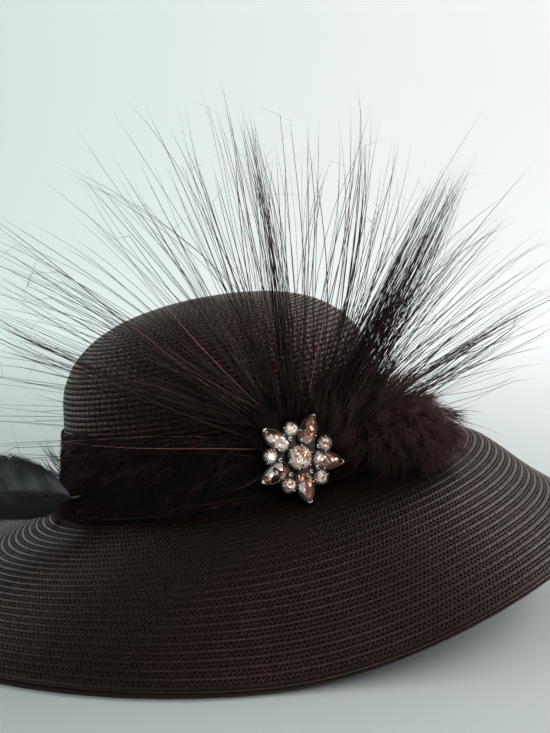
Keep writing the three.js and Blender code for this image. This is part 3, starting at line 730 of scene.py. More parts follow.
# %% Spikes along paths
def spikes(paths, radius):
    """Three points round each path point but the last, at 120 degrees; the last is the tip."""
    count, steps = len(paths), paths.shape[1] - 1
    tangent = unit(np.gradient(paths, axis=1))
    side = unit(np.cross(tangent, unit(rng.normal(size=(count, 1, 3)))))
    other = np.cross(tangent, side)
    turn = np.arange(3) * 2 * math.pi / 3
    rings = (paths[:, :steps, None]
             + radius[:, :steps, None, None] * (np.cos(turn)[:, None] * side[:, :steps, None]
                                                + np.sin(turn)[:, None] * other[:, :steps, None]))
    points = np.concatenate([rings.reshape(count, -1, 3), paths[:, -1:]], 1)
    size = 3 * steps + 1
    base = (np.arange(count) * size)[:, None, None]
    corner = np.arange(3)
    beside = (corner + 1) % 3
    ring = (np.arange(steps - 1) * 3)[:, None]
    quads = np.stack([ring + corner, ring + beside, ring + 3 + beside, ring + 3 + corner], -1)
    tip = np.stack([3 * (steps - 1) + corner, 3 * (steps - 1) + beside, np.full(3, size - 1)], -1)
    tris = np.concatenate([[[0, 2, 1]], tip])
    return (points.reshape(-1, 3), (base + quads.reshape(1, -1, 4)).reshape(-1, 4),
            (base + tris[None]).reshape(-1, 3))


def rod(path, radius, sides=8, flat_up=UP):
    """A round bar: a circle of points carried along a path, closed at both ends by a fan."""
    path = np.asarray(path, float)
    tangent = unit(np.gradient(path, axis=0))
    side = unit(np.cross(tangent, flat_up))
    other = np.cross(tangent, side)
    turn = np.arange(sides) * math.tau / sides
    radius = np.broadcast_to(np.asarray(radius, float), len(path))[:, None, None]
    rings = path[:, None] + radius * (np.cos(turn)[:, None] * side[:, None]
                                      + np.sin(turn)[:, None] * other[:, None])
    points = np.concatenate([rings.reshape(-1, 3), path[:1], path[-1:]])
    return points, strip_faces(sides, len(path))[:, ::-1], end_fans(sides, len(path))[:, (0, 2, 1)]


def joined(bodies):
    """Several (points, quads, triangles) put into one set of arrays, each body turned outwards."""
    points, quads, tris, start = [], [], [], 0
    for body_points, body_quads, body_tris in bodies:
        faces = [np.asarray(body_quads, int).reshape(-1, 4), np.asarray(body_tris, int).reshape(-1, 3)]
        if sum(enclosed(body_points, part) for part in faces) < 0:
            faces = [part[:, ::-1] for part in faces]
        points.append(body_points)
        quads.append(faces[0] + start)
        tris.append(faces[1] + start)
        start += len(body_points)
    return np.concatenate(points), np.concatenate(quads), np.concatenate(tris)


def along_stems(stems, which, share):
    """The point and the direction at a share of each chosen stem's length."""
    place = share * (stems.shape[1] - 1)
    i = np.minimum(place.astype(int), stems.shape[1] - 2)
    f = (place - i)[:, None]
    a, b = stems[which, i], stems[which, i + 1]
    return a * (1 - f) + b * f, unit(b - a)


def barbs(stems, count, length, spread, droop, thick, segments=2, start_from=0.02):
    """start + L (s d + 0.4 s^2 (stem - d)) + a sway that grows with s - droop s^2 upwards."""
    which = rng.integers(len(stems), size=count)
    share = rng.uniform(start_from, 1, count) ** 0.8
    start, along = along_stems(stems, which, share)
    radial = unit(np.cross(along, rng.normal(size=(count, 3))))
    leave = unit(along + radial * (spread * rng.uniform(0.4, 1.3, count))[:, None])
    long = (np.broadcast_to(length, len(stems))[which] * rng.uniform(0.55, 1.15, count)
            * (1.05 - 0.35 * share))
    s = np.linspace(0, 1, segments + 1)[None, :, None]
    sway = (unit(rng.normal(size=(count, 1, 3)))
            * np.sin(s * math.pi * rng.uniform(0.8, 2.2, (count, 1, 1))))
    reach = long[:, None, None]
    paths = (start[:, None] + reach * (s * leave[:, None] + 0.4 * s ** 2 * (along - leave)[:, None])
             + 0.10 * reach * s * sway - UP * droop * s ** 2)
    radius = thick / 2 * rng.uniform(0.7, 1.2, (count, 1)) * np.linspace(1, 0.45, segments + 1)[None]
    return paths, radius, which


def down_body(layers, stem_shade, clearance, outward):
    """Layers of barbs, each barb shaded like its own stem and lit mostly as the whole tuft is."""
    bodies, shades, normals = [], [], []
    for stems, count, length, spread, droop, thick, segments, start_from, dim in layers:
        paths, radius, which = barbs(stems, count, length, spread, droop, thick, segments, start_from)
        paths = behind_brooch(above_brim(outside_crown(paths, clearance), 0.5))
        bodies.append(spikes(paths, radius))
        # dim scales a layer's shade: 0.5 paints an under-layer dim, as painted shade under the surface
        # barbs, and values over 1 make the outer barbs lighter.
        own = np.clip(stem_shade[which] * rng.uniform(0.4, 1.6, count)
                      + rng.normal(0, 0.06, count), 0, 1) * dim
        towards_tip = np.append(np.repeat(np.linspace(0.75, 1.1, segments), 3), 1.25)
        shades.append((own[:, None] * towards_tip).ravel())
        points = bodies[-1][0].reshape(count, -1, 3)
        round_barb = unit(points - np.repeat(paths, [3] * segments + [1], axis=1))
        tuft_way = outward(points) + 0.25 * rng.normal(size=(count, 1, 3))
        normals.append(unit(tuft_way + 0.6 * round_barb).reshape(-1, 3))
    return bodies, shades, normals


def above_brim(points, clearance):
    """Points under the brim's upper side near the crown are lifted to just over it."""
    x = (points[..., 0] - CROWN_FOOT[0]) / (CROWN_LENGTH * math.cos(LEAN))
    y = points[..., 1] / CROWN_DEPTH
    turn = np.degrees(np.arctan2(y, x)) % 360
    out = np.clip((np.hypot(x, y) - 1) * CROWN_DEPTH, 0, BRIM_WIDTH * 0.98)
    low = on_grid(brim_base, (turn / 360 * BRIM_COLUMNS).ravel(),
                  (out / BRIM_WIDTH * (brim_base.shape[1] - 1)).ravel())[:, 2].reshape(turn.shape)
    lifted = points.copy()
    lifted[..., 2] = np.maximum(lifted[..., 2], low + clearance)
    return lifted


def outside_crown(points, clearance):
    """Points inside the crown are moved straight out from its axis to just off its wall."""
    off = points - CROWN_FOOT
    rise = off @ AXIS
    x, y = off @ RIGHT, off @ BACK
    radius = np.sqrt(np.maximum(squared_radius(np.clip(rise / CROWN_HEIGHT, 0, 1)), 1e-4))
    share = np.hypot(x / CROWN_LENGTH, y / CROWN_DEPTH) / radius
    need = 1 + clearance / (90 * radius)
    inside = (rise > 0) & (rise < CROWN_HEIGHT * 0.9) & (share < need)
    grow = np.where(inside, need / np.maximum(share, 0.1), 1)
    return (CROWN_FOOT + (x * grow)[..., None] * RIGHT + (y * grow)[..., None] * BACK
            + rise[..., None] * AXIS)


# %% [markdown]
# The down is dyed dark brown. It is matt, with a faint halo where light passes along the barbs,
# which sheen gives. Each barb has its own shade, from near black to plum brown.

# %% Marabou finish
def feather_finish(name, dark, light, **values):
    """A finish that mixes two colours by each barb's own shade."""
    finish, tree, shader = new_finish(name, **values)
    own = add(tree, "ShaderNodeAttribute", attribute_name="shade")
    mixed = add(tree, "ShaderNodeMix", {"Factor": own.outputs["Fac"], "A": colour(dark),
                                        "B": colour(light)}, data_type="RGBA")
    tree.links.new(mixed.outputs["Result"], shader.inputs["Base Color"])
    return finish, tree, shader


down, tree, shader = feather_finish("dyed_marabou_down", "#080405", "#664c46", Roughness=0.8,
                                    Specular_IOR_Level=0.12, Sheen_Weight=0.22, Sheen_Roughness=0.45)
shader.inputs["Sheen Tint"].default_value = colour("#9c7471")

# %% [markdown]
# ### The band
#
# The band is laid round the crown's foot as short plumes, each from the upper right to the lower left, so
# that the down falls in soft diagonal swirls. A thick, dim layer lies under the surface layer and its
# longer, finer barbs; its dimness is painted shade under them. A crest covers the core's top edge, a
# skirt lies on the brim, and a tuck and a fringe close round the feather. The lumpy core keeps the straw
# from showing through, and it has the down's darkest colour, as painted shade deep in the down. Each
# plume has its own shade, and so do its barbs; a plume that stands farther out is painted lighter, as
# painted light. The barbs' normals are mostly those of the whole band, so that it is lit as one soft
# body.

# %% Helpers for the band
share = np.linspace(0, 1, 7)[None]


def evenly_round(count, jitter):
    """Turns spaced evenly round the hat, each moved by up to the jitter."""
    return np.linspace(0, 360, count, endpoint=False) + rng.uniform(-jitter, jitter, count)


def waves(turn, count, phase=0.0):
    """A sine with this many waves round the hat."""
    return np.sin(np.radians(turn * count) + phase)


def bump(turn, at, wide):
    """exp(-((turn - at) / wide)^2): 1 at one turn, and nothing away from it."""
    return np.exp(-((turn - at) / wide) ** 2)


def straight_stems(root, tip):
    """Seven points from each root straight to its tip."""
    return root[:, None] + (tip - root)[:, None] * share[..., None]


def off_axis(points):
    """Straight away from the crown's axis and a little up."""
    off = points - CROWN_FOOT
    return unit(off - (off @ AXIS)[..., None] * AXIS) + 0.35 * UP


# %% The band's plumes
BAND_STEMS = 400
SKIRT_STEMS = 80
TUCK_STEMS = 16
CREST_STEMS = 90
FRINGE_STEMS = 12
FEATHER_SEAT = np.array([-68.5, -59, 60.5])
FEATHER_TURN = 196.0
LEFT_FRONT = 205

start_turn = evenly_round(BAND_STEMS, 3)
swirl = waves(start_turn, 7) * 0.6 + rng.uniform(-0.4, 0.4, BAND_STEMS)
stem_turn = start_turn[:, None] - share * (13 + 6 * swirl)[:, None]
stem_rise = (29 + 11 * rng.uniform(-1, 1, BAND_STEMS))[:, None] - share * (8 + 16 * swirl)[:, None]
open_round = 1 - np.exp(-(waves(stem_turn, 1) / 0.6) ** 2)
stem_loft = rng.uniform(0, 5.5, (BAND_STEMS, 1))
tall = 1.08 + 0.12 * bump(stem_turn, LEFT_FRONT, 50)
low_down = np.clip(1.25 - (stem_rise / 38) ** 2, 0.3, 1)
stem_out = 0.9 + open_round * low_down * (1.7 + 3.4 * np.sin(share * math.pi * 0.85) + stem_loft)
band_stems = above_brim(off_crown(stem_turn, np.clip(stem_rise, 2, 36) * tall, stem_out), 1.0)

# %% The band's core
CORE_COLUMNS = 150
CORE_GAP = 0.4
RIGHT_OF_BROOCH = 326

core_turn = (np.arange(CORE_COLUMNS) * (360 / CORE_COLUMNS))[:, None]
core_profile = np.array([
    # rise, out from the crown
    (3, CORE_GAP), (10, CORE_GAP), (17, CORE_GAP), (21, CORE_GAP), (23, 0.9), (21, 1.8),
    (18, 2.5), (13, 3.0), (8, 3.0), (5, 2.4),
])
lump = 1 + 0.25 * waves(core_turn, 11, core_profile[:, 0] * 0.35) + 0.15 * waves(core_turn, 23)
core_thin = 0.6 + 0.4 * np.abs(waves(core_turn, 1))
beside_brooch = 1 + 1.6 * bump(core_turn, RIGHT_OF_BROOCH, 15)
core_out = CORE_GAP + (core_profile[:, 1] - CORE_GAP) * lump * core_thin * beside_brooch


def core_height(turn):
    """Times the profile's height: 1.9 at the left front, with a slight wave all round."""
    slight_wave = 0.05 * waves(turn, 7) + 0.04 * waves(turn, 17)
    return 1 + 0.9 * bump(turn % 360, LEFT_FRONT, 50) + slight_wave


core = off_crown(core_turn, core_profile[:, 0] * core_height(core_turn), core_out)
core = above_brim(core, 0.6).transpose(1, 0, 2)
core_body = (core.reshape(-1, 3), strip_faces(CORE_COLUMNS, len(core_profile), True)[:, ::-1], [])

# %% Skirt, tuck, fringe and crest
# Painted light: a plume lifted farther out from the crown gets a lighter shade.
band_shade = np.minimum(0.04 + 0.065 * stem_loft[:, 0] * rng.uniform(0.1, 1.5, BAND_STEMS) ** 2, 0.26)
skirt_turn = evenly_round(SKIRT_STEMS, 2)[:, None] - share * 12
skirt_rise = 5 + 3 * waves(skirt_turn, 5) + rng.uniform(-2, 3, (SKIRT_STEMS, 1)) - share * 4
skirt_out = (4 + rng.uniform(0, 4, (SKIRT_STEMS, 1))) * (0.6 + 0.4 * np.abs(waves(skirt_turn, 1)))
skirt_stems = above_brim(off_crown(skirt_turn, np.clip(skirt_rise, 1, 12), skirt_out), 1.5)
tuck = FEATHER_SEAT + rng.uniform(-1, 1, (TUCK_STEMS, 3)) * (4, 3, 6)
tuck_tips = (tuck + rng.uniform(0.4, 1, (TUCK_STEMS, 1)) * (-13, -3, -4)
             + rng.normal(0, 3, (TUCK_STEMS, 3)))
fringe_root = off_crown(np.full(FRINGE_STEMS, FEATHER_TURN), rng.uniform(9, 24, FRINGE_STEMS),
                        np.full(FRINGE_STEMS, 1.5))
fringe_tips = (fringe_root + rng.uniform(0.3, 1, (FRINGE_STEMS, 1)) * (-7, 0, 6)
               + rng.normal(0, 1.0, (FRINGE_STEMS, 3)))
fringe_stems = straight_stems(fringe_root, fringe_tips)
band_stems = np.concatenate([band_stems, skirt_stems, straight_stems(tuck, tuck_tips)])
crest_turn = evenly_round(CREST_STEMS, 3)[:, None] - share * 9
crest_rise = 22.5 * core_height(crest_turn) - rng.uniform(0, 5, (CREST_STEMS, 1))
crest_stems = off_crown(crest_turn, crest_rise, 0.9 + 0 * crest_rise)
band_size = np.concatenate([open_round.mean(1), np.ones(SKIRT_STEMS + TUCK_STEMS)]) * 0.86 + 0.14
band_shade = np.concatenate([band_shade, rng.uniform(0, 0.1, SKIRT_STEMS),
                             rng.uniform(0, 0.15, TUCK_STEMS)])

# %% The whole band
bodies, shades, normals = down_body([
    # stems, count, length, spread, droop, thick, segments, from, dim
    (band_stems, 5800, 10 * band_size, 1.1, 2.5, 0.65, 2, 0.0, 0.5),
    (band_stems, 8600, 14 * band_size, 1.0, 3.0, 0.24, 2, 0.0, 1.0),
    (band_stems, 2000, 18 * band_size, 0.9, 5.0, 0.17, 3, 0.2, 1.4),
    (fringe_stems, 200, 9, 0.5, 0.0, 0.16, 2, 0.0, 1.0),
    (crest_stems, 900, 6, 1.3, 0.5, 0.2, 2, 0.0, 1.0),
], band_shade, 0.8, off_axis)
# The core takes shade 0, the down's darkest colour, as painted shade deep in the down.
points, quads, tris = joined([core_body] + bodies)
make_piece("fur_band_down", points, [quads, tris], down, nodes=("fur_band",),
           shade=np.concatenate([np.zeros(len(core_body[0]))] + shades),
           soft_normals=np.concatenate([off_axis(core_body[0])] + normals))

# %% [markdown]
# ### The tuft
#
# To the right of the brooch the same down stands up in a full tuft. Its stems start close together on the
# band and open like a fan over an oval, up and to the right. A smaller oval, its heart, stands where real
# down is too deep to see into, and it has the down's darkest colour, as painted shade. A last layer of
# longer, finer barbs breaks the outline, so that it fades out as real down does. The whole tuft is
# painted dim towards its bottom, as painted shade above the brim.

# %% Tuft of down
TUFT_STEMS = 120
TUFT_CENTRE = np.array([85, -67, 91])
TUFT_REACH = np.array([37, 30, 26])
TUFT_HEART = np.array([86, -63, 86])
TUFT_HEART_REACH = np.array([25, 18, 16])
HEART_RINGS = 14
HEART_COLUMNS = 28
GOLDEN_ANGLE = 137.5


def arching_stems(root, tip, away, arch):
    """Quadratic curves from root to tip over a middle point pushed away from the crown."""
    s = np.linspace(0, 1, 8)[None, :, None]
    middle = (root + tip) / 2 + away * arch
    return (1 - s) ** 2 * root[:, None] + 2 * s * (1 - s) * middle[:, None] + s ** 2 * tip[:, None]


height = 0.97 - 1.7 * (np.arange(TUFT_STEMS) + 0.5) / TUFT_STEMS
round_turn = np.radians(np.arange(TUFT_STEMS) * GOLDEN_ANGLE)
flat = np.sqrt(1 - height ** 2)
aim = np.stack([flat * np.cos(round_turn), flat * np.sin(round_turn), height], 1)
tip = TUFT_CENTRE + aim * TUFT_REACH * rng.uniform(0.66, 0.92, (TUFT_STEMS, 1))
root_turn = np.clip(-33 + aim[:, 0] * 17, -52, -15)
root_rise = np.clip(20 + aim[:, 2] * 9, 12, 28)
root = off_crown(root_turn, root_rise, np.full(TUFT_STEMS, 6.0))
away = crown_normal(root_turn, root_rise)
over_brooch = (tip[:, 0] < 58) & (tip[:, 2] < 88)
keep = ((aim * away).sum(1) > -0.1) & ~over_brooch
tuft_stems = arching_stems(root[keep], tip[keep], away[keep], 5)
tuft_shade = rng.uniform(0.4, 0.7, len(tuft_stems))

down_turn = (np.arange(HEART_RINGS) + 0.5)[:, None] / HEART_RINGS * math.pi
heart_turn = np.arange(HEART_COLUMNS)[None] / HEART_COLUMNS * math.tau
lumpy = 1 + 0.12 * np.sin(heart_turn * 5 + down_turn * 4) + 0.08 * np.sin(heart_turn * 3 - down_turn * 7)
heart = TUFT_HEART + lumpy[..., None] * TUFT_HEART_REACH * np.stack(
    [np.sin(down_turn) * np.cos(heart_turn), np.sin(down_turn) * np.sin(heart_turn),
     np.cos(down_turn) + 0 * heart_turn], -1)
heart = above_brim(outside_crown(heart, 1.0), 0.6)
ends = np.stack([heart[0].mean(0), heart[-1].mean(0)])
heart_body = (np.concatenate([heart.reshape(-1, 3), ends]), strip_faces(HEART_COLUMNS, HEART_RINGS),
              end_fans(HEART_COLUMNS, HEART_RINGS))


def off_heart(points):
    """Straight away from the middle of the tuft, which is not round but an oval."""
    return unit((points - TUFT_HEART) / TUFT_REACH)


bodies, shades, normals = down_body([
    (tuft_stems, 9300, 16, 0.75, 0.5, 0.25, 2, 0.02, 1.0),
    (tuft_stems, 4300, 21, 0.5, 0.5, 0.17, 3, 0.35, 1.1),
    (tuft_stems, 1000, 30, 0.45, 1.0, 0.10, 4, 0.6, 1.3),
], tuft_shade, 1.5, off_heart)
points, quads, tris = joined([heart_body] + bodies)
# The heart takes shade 0 as painted shade, and the tuft is dimmed towards its bottom, as painted shade
# above the brim.
tuft_tones_with_painted_shade = np.concatenate([np.zeros(len(heart_body[0]))] + shades)
tuft_tones_with_painted_shade *= 0.3 + 0.8 * np.clip((points[:, 2] - 66) / 36, 0, 1)
make_piece("tuft_down", points, [quads, tris], down, nodes=("marabou_tuft",),
           shade=tuft_tones_with_painted_shade, soft_normals=np.concatenate([off_heart(heart_body[0])] + normals))

# %% [markdown]
# ### The spray
#
# A quill stripped of its barbs is a springy black hair. They are wired in small locks at the
# back of the brooch. Each lock has its own path, as a parabola through three points, and each
# quill strays a little from its lock. A few stray far, and some have a kinked or hooked tip.
# Above SPRAY_TOP a quill's height counts half, as the tips of a bound spray bow over. Nearly all quills
# are close to black; a few are painted pale, as painted highlights on quills that catch the light.

# %% Quill finish
# The pale end of the mix is the colour of a painted highlight.
quill, tree, shader = feather_finish("stripped_quill", "#080505", "#86625e", Roughness=0.36,
                                     Specular_IOR_Level=0.32, Coat_Weight=0.05, Coat_Roughness=0.25)
shader.inputs["Specular Tint"].default_value = colour("#ffd6cd")

# %% Quills in locks
QUILL_STEPS = 9
SPRAY_TOP = 255


def lock(count, root, middle, tip, root_spread, tip_spread, depth, back, ragged=0.25):
    """Parabola through root, middle and tip: r(1-s)(1-2s) + 4m s(1-s) + t s(2s-1), then kinked."""
    root, middle, tip = (np.array([x, depth + y, z], float) for (x, z), y in
                         ((root, 0), (middle, 0.45 * back - 3), (tip, back)))
    reach = np.linalg.norm(tip - root)
    stray = np.where(rng.uniform(size=(count, 1)) < (0.3 if tip_spread > 5 else 0.12), 2.5, 1.0)
    root_off = np.clip(rng.normal(size=(count, 3)), -1.8, 1.8) * root_spread
    tip_off = np.clip(rng.normal(size=(count, 3)), -1.8, 1.8) * (1.0, 1.3, 1.0) * tip_spread * stray
    middle_off = 0.5 * (root_off + tip_off) + rng.normal(size=(count, 3)) * tip_spread * 0.35
    end = 1 - ragged * rng.uniform(size=(count, 1, 1)) ** 1.3
    s = np.linspace(0, 1, QUILL_STEPS)[None, :, None] * end
    path = ((root + root_off)[:, None] * (1 - s) * (1 - 2 * s)
            + (middle + middle_off)[:, None] * 4 * s * (1 - s)
            + (tip + tip_off)[:, None] * s * (2 * s - 1))
    forward = unit(tip - root)
    side = unit(np.cross(forward, BACK))
    path += side * (rng.normal(0, 1.7, (count, 1, 1)) * np.sin(s / end * math.pi)
                    + rng.normal(0, 0.9, (count, 1, 1)) * np.sin(s / end * math.tau))
    kinked = (rng.uniform(size=count) < 0.16)[:, None, None]
    hook = np.maximum(s / end - rng.uniform(0.84, 0.96, (count, 1, 1)), 0) * reach
    aside = unit(side * rng.choice([-1, 1], (count, 1))
                 + forward * rng.normal(0, 0.6, (count, 1)))[:, None]
    path += np.where(kinked, hook * rng.uniform(0.5, 1.3, (count, 1, 1)) * (aside - forward), 0)
    path[..., 2] -= 0.5 * np.maximum(path[..., 2] - SPRAY_TOP, 0)
    path = behind_brooch(path)
    wide = np.where(rng.uniform(size=count) < 0.25, rng.uniform(0.26, 0.38, count),
                    rng.uniform(0.15, 0.26, count))[:, None]
    return path, wide * np.linspace(1, 0.4, QUILL_STEPS)[None]


def spray(name, locks, nodes):
    """All the locks of a table as one piece, with a painted highlight: a pale quill in every fifth lock
    and some more.
    """
    bodies = [spikes(*lock(*row)) for row in locks]
    total = sum(row[0] for row in locks)
    own = 0.22 * rng.uniform(size=total) ** 3
    first = np.cumsum([0] + [row[0] for row in locks[:-1]])
    # Painted highlights: these quills take the pale end of the mix.
    highlit_quills = np.concatenate([first[::5], first[:8:3] + 1])
    own[highlit_quills] = 1.0
    points, quads, tris = joined(bodies)
    return make_piece(name, points, [quads, tris], quill, nodes=nodes,
                      shade=np.repeat(own, 3 * (QUILL_STEPS - 1) + 1))


spray("quill_spray_hairs", [
    # count, root, middle and tip as (across, up), root spread, tip spread, the root's depth,
    # how far behind it the tip is, and the share of its length by which a quill may fall short
    (8, (21, 91), (-56, 91), (-139, 86), 3.5, 7, -88, 22),
    (9, (22, 93), (-56, 103), (-138, 106), 3.5, 7, -88, 22),
    (12, (21, 94), (-56, 110), (-137, 123), 3.5, 8, -88, 22),
    (9, (21, 96), (-51, 119), (-135, 139), 3.5, 6, -88, 22),
    (22, (21, 97), (-61, 126), (-134, 158), 3.5, 5, -88, 22),
    (22, (20, 98), (-53, 139), (-129, 170), 4.5, 11, -88, 22),
    (14, (19, 100), (-53, 145), (-126, 182), 3.5, 8, -88, 22),
    (8, (21, 100), (-46, 150), (-115, 191), 3.5, 9, -88, 20),
    (3, (24, 100), (0, 168), (-88, 226), 2, 2, -88, 18),
    (3, (26, 100), (-20, 170), (-80, 232), 2, 3, -88, 18),
    (5, (24, 100), (-29, 160), (-92, 222), 3.5, 10, -88, 20),
    (5, (26, 100), (-26, 165), (-70, 232), 3.5, 10, -88, 18),
    (6, (27, 100), (-14, 170), (-51, 238), 3.5, 10, -88, 18),
    (11, (28, 101), (-4, 172), (-41, 244), 3.5, 9, -88, 16),
    (15, (29, 101), (3, 175), (-24, 248), 3.5, 8, -88, 16),
    (10, (31, 101), (10, 179), (-4, 251), 3.5, 8, -88, 14),
    (40, (33, 101), (24, 179), (7, 252), 3.5, 4, -88, 14),
    (9, (35, 101), (29, 179), (24, 250), 4.5, 9, -88, 12),
    (9, (36, 101), (39, 179), (34, 252), 4.5, 9, -88, 12),
    (9, (38, 101), (47, 179), (61, 250), 4.5, 9, -88, 10),
    (24, (40, 101), (61, 179), (66, 251), 4.5, 6, -88, 10),
    (12, (42, 101), (66, 180), (80, 248), 4.5, 9, -88, 9, 0.4),
    (12, (45, 101), (77, 179), (98, 246), 4.5, 9, -80, 8, 0.4),
    (86, (47, 100), (78, 161), (112, 229), 5, 3, -80, 8, 0.6),
    (80, (51, 100), (87, 161), (119, 230), 5, 3, -80, 8, 0.6),
    (30, (55, 100), (91, 158), (142, 208), 5, 5, -80, 9, 0.4),
    (14, (58, 100), (103, 153), (154, 201), 5.5, 9, -74, 10, 0.4),
    (14, (62, 100), (111, 146), (169, 189), 5.5, 10, -74, 10, 0.4),
    (2, (20, 78), (6, 75), (-8, 72), 0.5, 1.2, -95, 1),
], ("quill_spray",))
spray("tuft_hairs", [
    (14, (65, 100), (114, 139), (172, 174), 5.5, 9, -66, 12, 0.4),
    (16, (69, 100), (118, 135), (172, 165), 5.5, 8, -66, 14, 0.4),
    (28, (73, 100), (116, 126), (168, 155), 5.5, 5, -66, 16, 0.4),
    (6, (77, 100), (121, 119), (170, 134), 4.8, 5, -66, 16),
    (2, (80, 98), (112, 110), (156, 126), 2, 2, -68, 6),
    (3, (82, 95), (108, 103), (134, 101), 2, 2, -70, 2),
    (2, (84, 92), (112, 99), (150, 84), 1, 1, -72, 0),
], ("marabou_tuft",))

# %% [markdown]
# Where the quills leave the brooch they are bound with a collar of the same down, which also
# fills the space between the spray and the tuft.

# %% Down at the foot of the spray
COLLAR_STEMS = 80
along_collar = np.linspace(0, 1, COLLAR_STEMS)
root = off_crown(-78 + 34 * along_collar, 22 + rng.uniform(-6, 8, COLLAR_STEMS),
                 6 + rng.uniform(0, 10, COLLAR_STEMS) + 4 * along_collar)
away = crown_normal(-78 + 34 * along_collar, np.full(COLLAR_STEMS, 20.0))
lean_angle = np.radians(128 - 78 * along_collar + rng.normal(0, 8, COLLAR_STEMS))
long = 9 + 22 * along_collar * rng.uniform(0.6, 1.1, COLLAR_STEMS)
tip = root + long[:, None] * np.stack([np.cos(lean_angle), 0 * lean_angle - 0.1, np.sin(lean_angle)], 1)
collar_stems = arching_stems(root, tip, away, 2)
collar_shade = 0.08 + 0.5 * along_collar * rng.uniform(0.3, 1.0, COLLAR_STEMS)
bodies, shades, normals = down_body([
    (collar_stems, 1500, 12, 0.9, 0.3, 0.55, 2, 0.0, 0.5),
    (collar_stems, 3700, 15, 0.6, 0.3, 0.24, 2, 0.02, 1.0),
    (collar_stems, 900, 20, 0.4, 0.3, 0.18, 3, 0.4, 1.1),
], collar_shade, 1.2, off_axis)
points, quads, tris = joined(bodies)
make_piece("spray_collar_down", points, [quads, tris], down, nodes=("quill_spray",),
           shade=np.concatenate(shades), soft_normals=np.concatenate(normals))

# %% [markdown]
# ### The vane feather
#
# At the left a single glossy feather is tucked into the band. A vane is made of barbs that leave the
# shaft at a slant and lie side by side, hooked together. So each barb here is a flat spike, as wide as
# two spaces between barbs, on the outline that the imported model has. Soft down stands loose at its foot
# and along its edges, and a few dark hairs beside its seat. The upper vane is painted light near the
# root, as a painted highlight, and the lower vane is painted dim, as painted shade.

# %% Feather finish
# The feather is near black; the light end of its mix is the blue-grey of a painted highlight.
vane, tree, shader = feather_finish("black_vane_feather", "#08080a", "#565a5e", Roughness=0.3,
                                    Specular_IOR_Level=0.6, Sheen_Weight=0.15, Sheen_Roughness=0.35)
shader.inputs["Sheen Tint"].default_value = colour("#9aa2aa")

# %% Vane feather
FEATHER_ROOT = np.array([-77.2, -67, 59.5])
FEATHER_TIP = np.array([-178, -36, 54])
VANE_BARBS = 190
VANE_POINTS = 8
BARB_WIDTH = 100 / VANE_BARBS * 1.9
FLUFF_SEGMENTS = 4
feather_outline = np.array([
    # along, above, below
    (0, 1.5, 1.5), (0.06, 8, 7), (0.12, 12, 10), (0.2, 16, 12.5), (0.3, 19.5, 14.5),
    (0.5, 20, 15), (0.7, 18, 13.5), (0.85, 13, 10), (0.95, 7, 5.5), (1, 1.2, 1.2),
])
vane_above = curve_through(feather_outline[:, 0], feather_outline[:, 1])
vane_below = curve_through(feather_outline[:, 0], feather_outline[:, 2])


def shaft_at(along):
    """Straight from root to tip, with one arch 1 mm high."""
    along = np.asarray(along, float)[..., None]
    return FEATHER_ROOT + (FEATHER_TIP - FEATHER_ROOT) * along + UP * np.sin(along * math.pi)


def flat_spikes(paths, across, wide, thick):
    """A spike whose section is flattened: wide along one direction, thin along the other."""
    _, quads, tris = spikes(paths, wide)
    steps = paths.shape[1] - 1
    tangent = unit(np.gradient(paths, axis=1))
    face = unit(np.cross(tangent, across))
    side = np.cross(face, tangent)
    section = np.array([(-0.5, 0.0), (0.5, 0.0), (0.0, 1.0)])
    rings = (paths[:, :steps, None]
             + section[:, :1] * (wide[:, :steps, None, None] * side[:, :steps, None])
             + section[:, 1:] * (thick * face[:, :steps, None]))
    body = np.concatenate([rings.reshape(len(paths), -1, 3), paths[:, -1:]], 1)
    return body.reshape(-1, 3), quads, tris


def vane_side(outline, sign, cup):
    """Barb paths: along the shaft as s^1.2, out to the outline as s^0.92, back by out^2 / cup."""
    base = np.linspace(0.015, 0.97, VANE_BARBS) + rng.normal(0, 0.0012, VANE_BARBS)
    slant = 0.15 * (1 - base) ** 0.35 + 0.005
    end = np.minimum(base + slant, 0.998)
    s = np.linspace(0, 1, VANE_POINTS)[None]
    notch = 1 - rng.uniform(0, 0.05, VANE_BARBS)
    out = (outline(end) * notch)[:, None] * s ** 0.92
    centre = shaft_at(base[:, None] + (end - base)[:, None] * s ** 1.2)
    paths = centre + np.stack([0 * out, out ** 2 / cup - 0.25, sign * out], -1)
    width = BARB_WIDTH * np.linspace(1, 0.75, VANE_POINTS)[None] * np.ones((VANE_BARBS, 1))
    return paths, width


def vane_edge(outline, sign, cup, inset):
    """A line inside the outline, cupped as the barbs are and half a millimetre in front of them."""
    along = np.linspace(0.05, 0.6, 5)
    out = outline(along) * inset
    return shaft_at(along) + np.stack([0 * out, out ** 2 / cup - 0.8, sign * out], -1)


forward = unit(FEATHER_TIP - FEATHER_ROOT)
VANES = (
    # outline, side of the shaft, cup (back by out^2 / cup), share of the outline where down starts
    (vane_above, 1, 45, 0.93),
    (vane_below, -1, 60, 0.7),
)
bodies = []
for outline, sign, cup, _ in VANES:
    paths, width = vane_side(outline, sign, cup)
    bodies.append(flat_spikes(paths, np.broadcast_to(sign * forward, paths.shape), width, 0.28))
shaft_share = np.linspace(0, 1, 26)
shaft_path = np.concatenate([[FEATHER_SEAT], shaft_at(shaft_share)])
shaft_radius = np.concatenate([[0.45], 0.9 - 0.7 * shaft_share])
shaft_body = rod(shaft_path, shaft_radius, 10)
soft_stem = shaft_at(np.linspace(0.0, 0.3, 5))[None] - BACK * 0.5
edges = np.stack([vane_edge(*vane) for vane in VANES])
beside_seat = off_crown(np.full(10, FEATHER_TURN), np.linspace(10, 26, 10), np.full(10, 1.5))
beside_seat = beside_seat[:, None] + np.linspace(0, 1, 5)[:, None] * (-2.4, 0, 2.2)
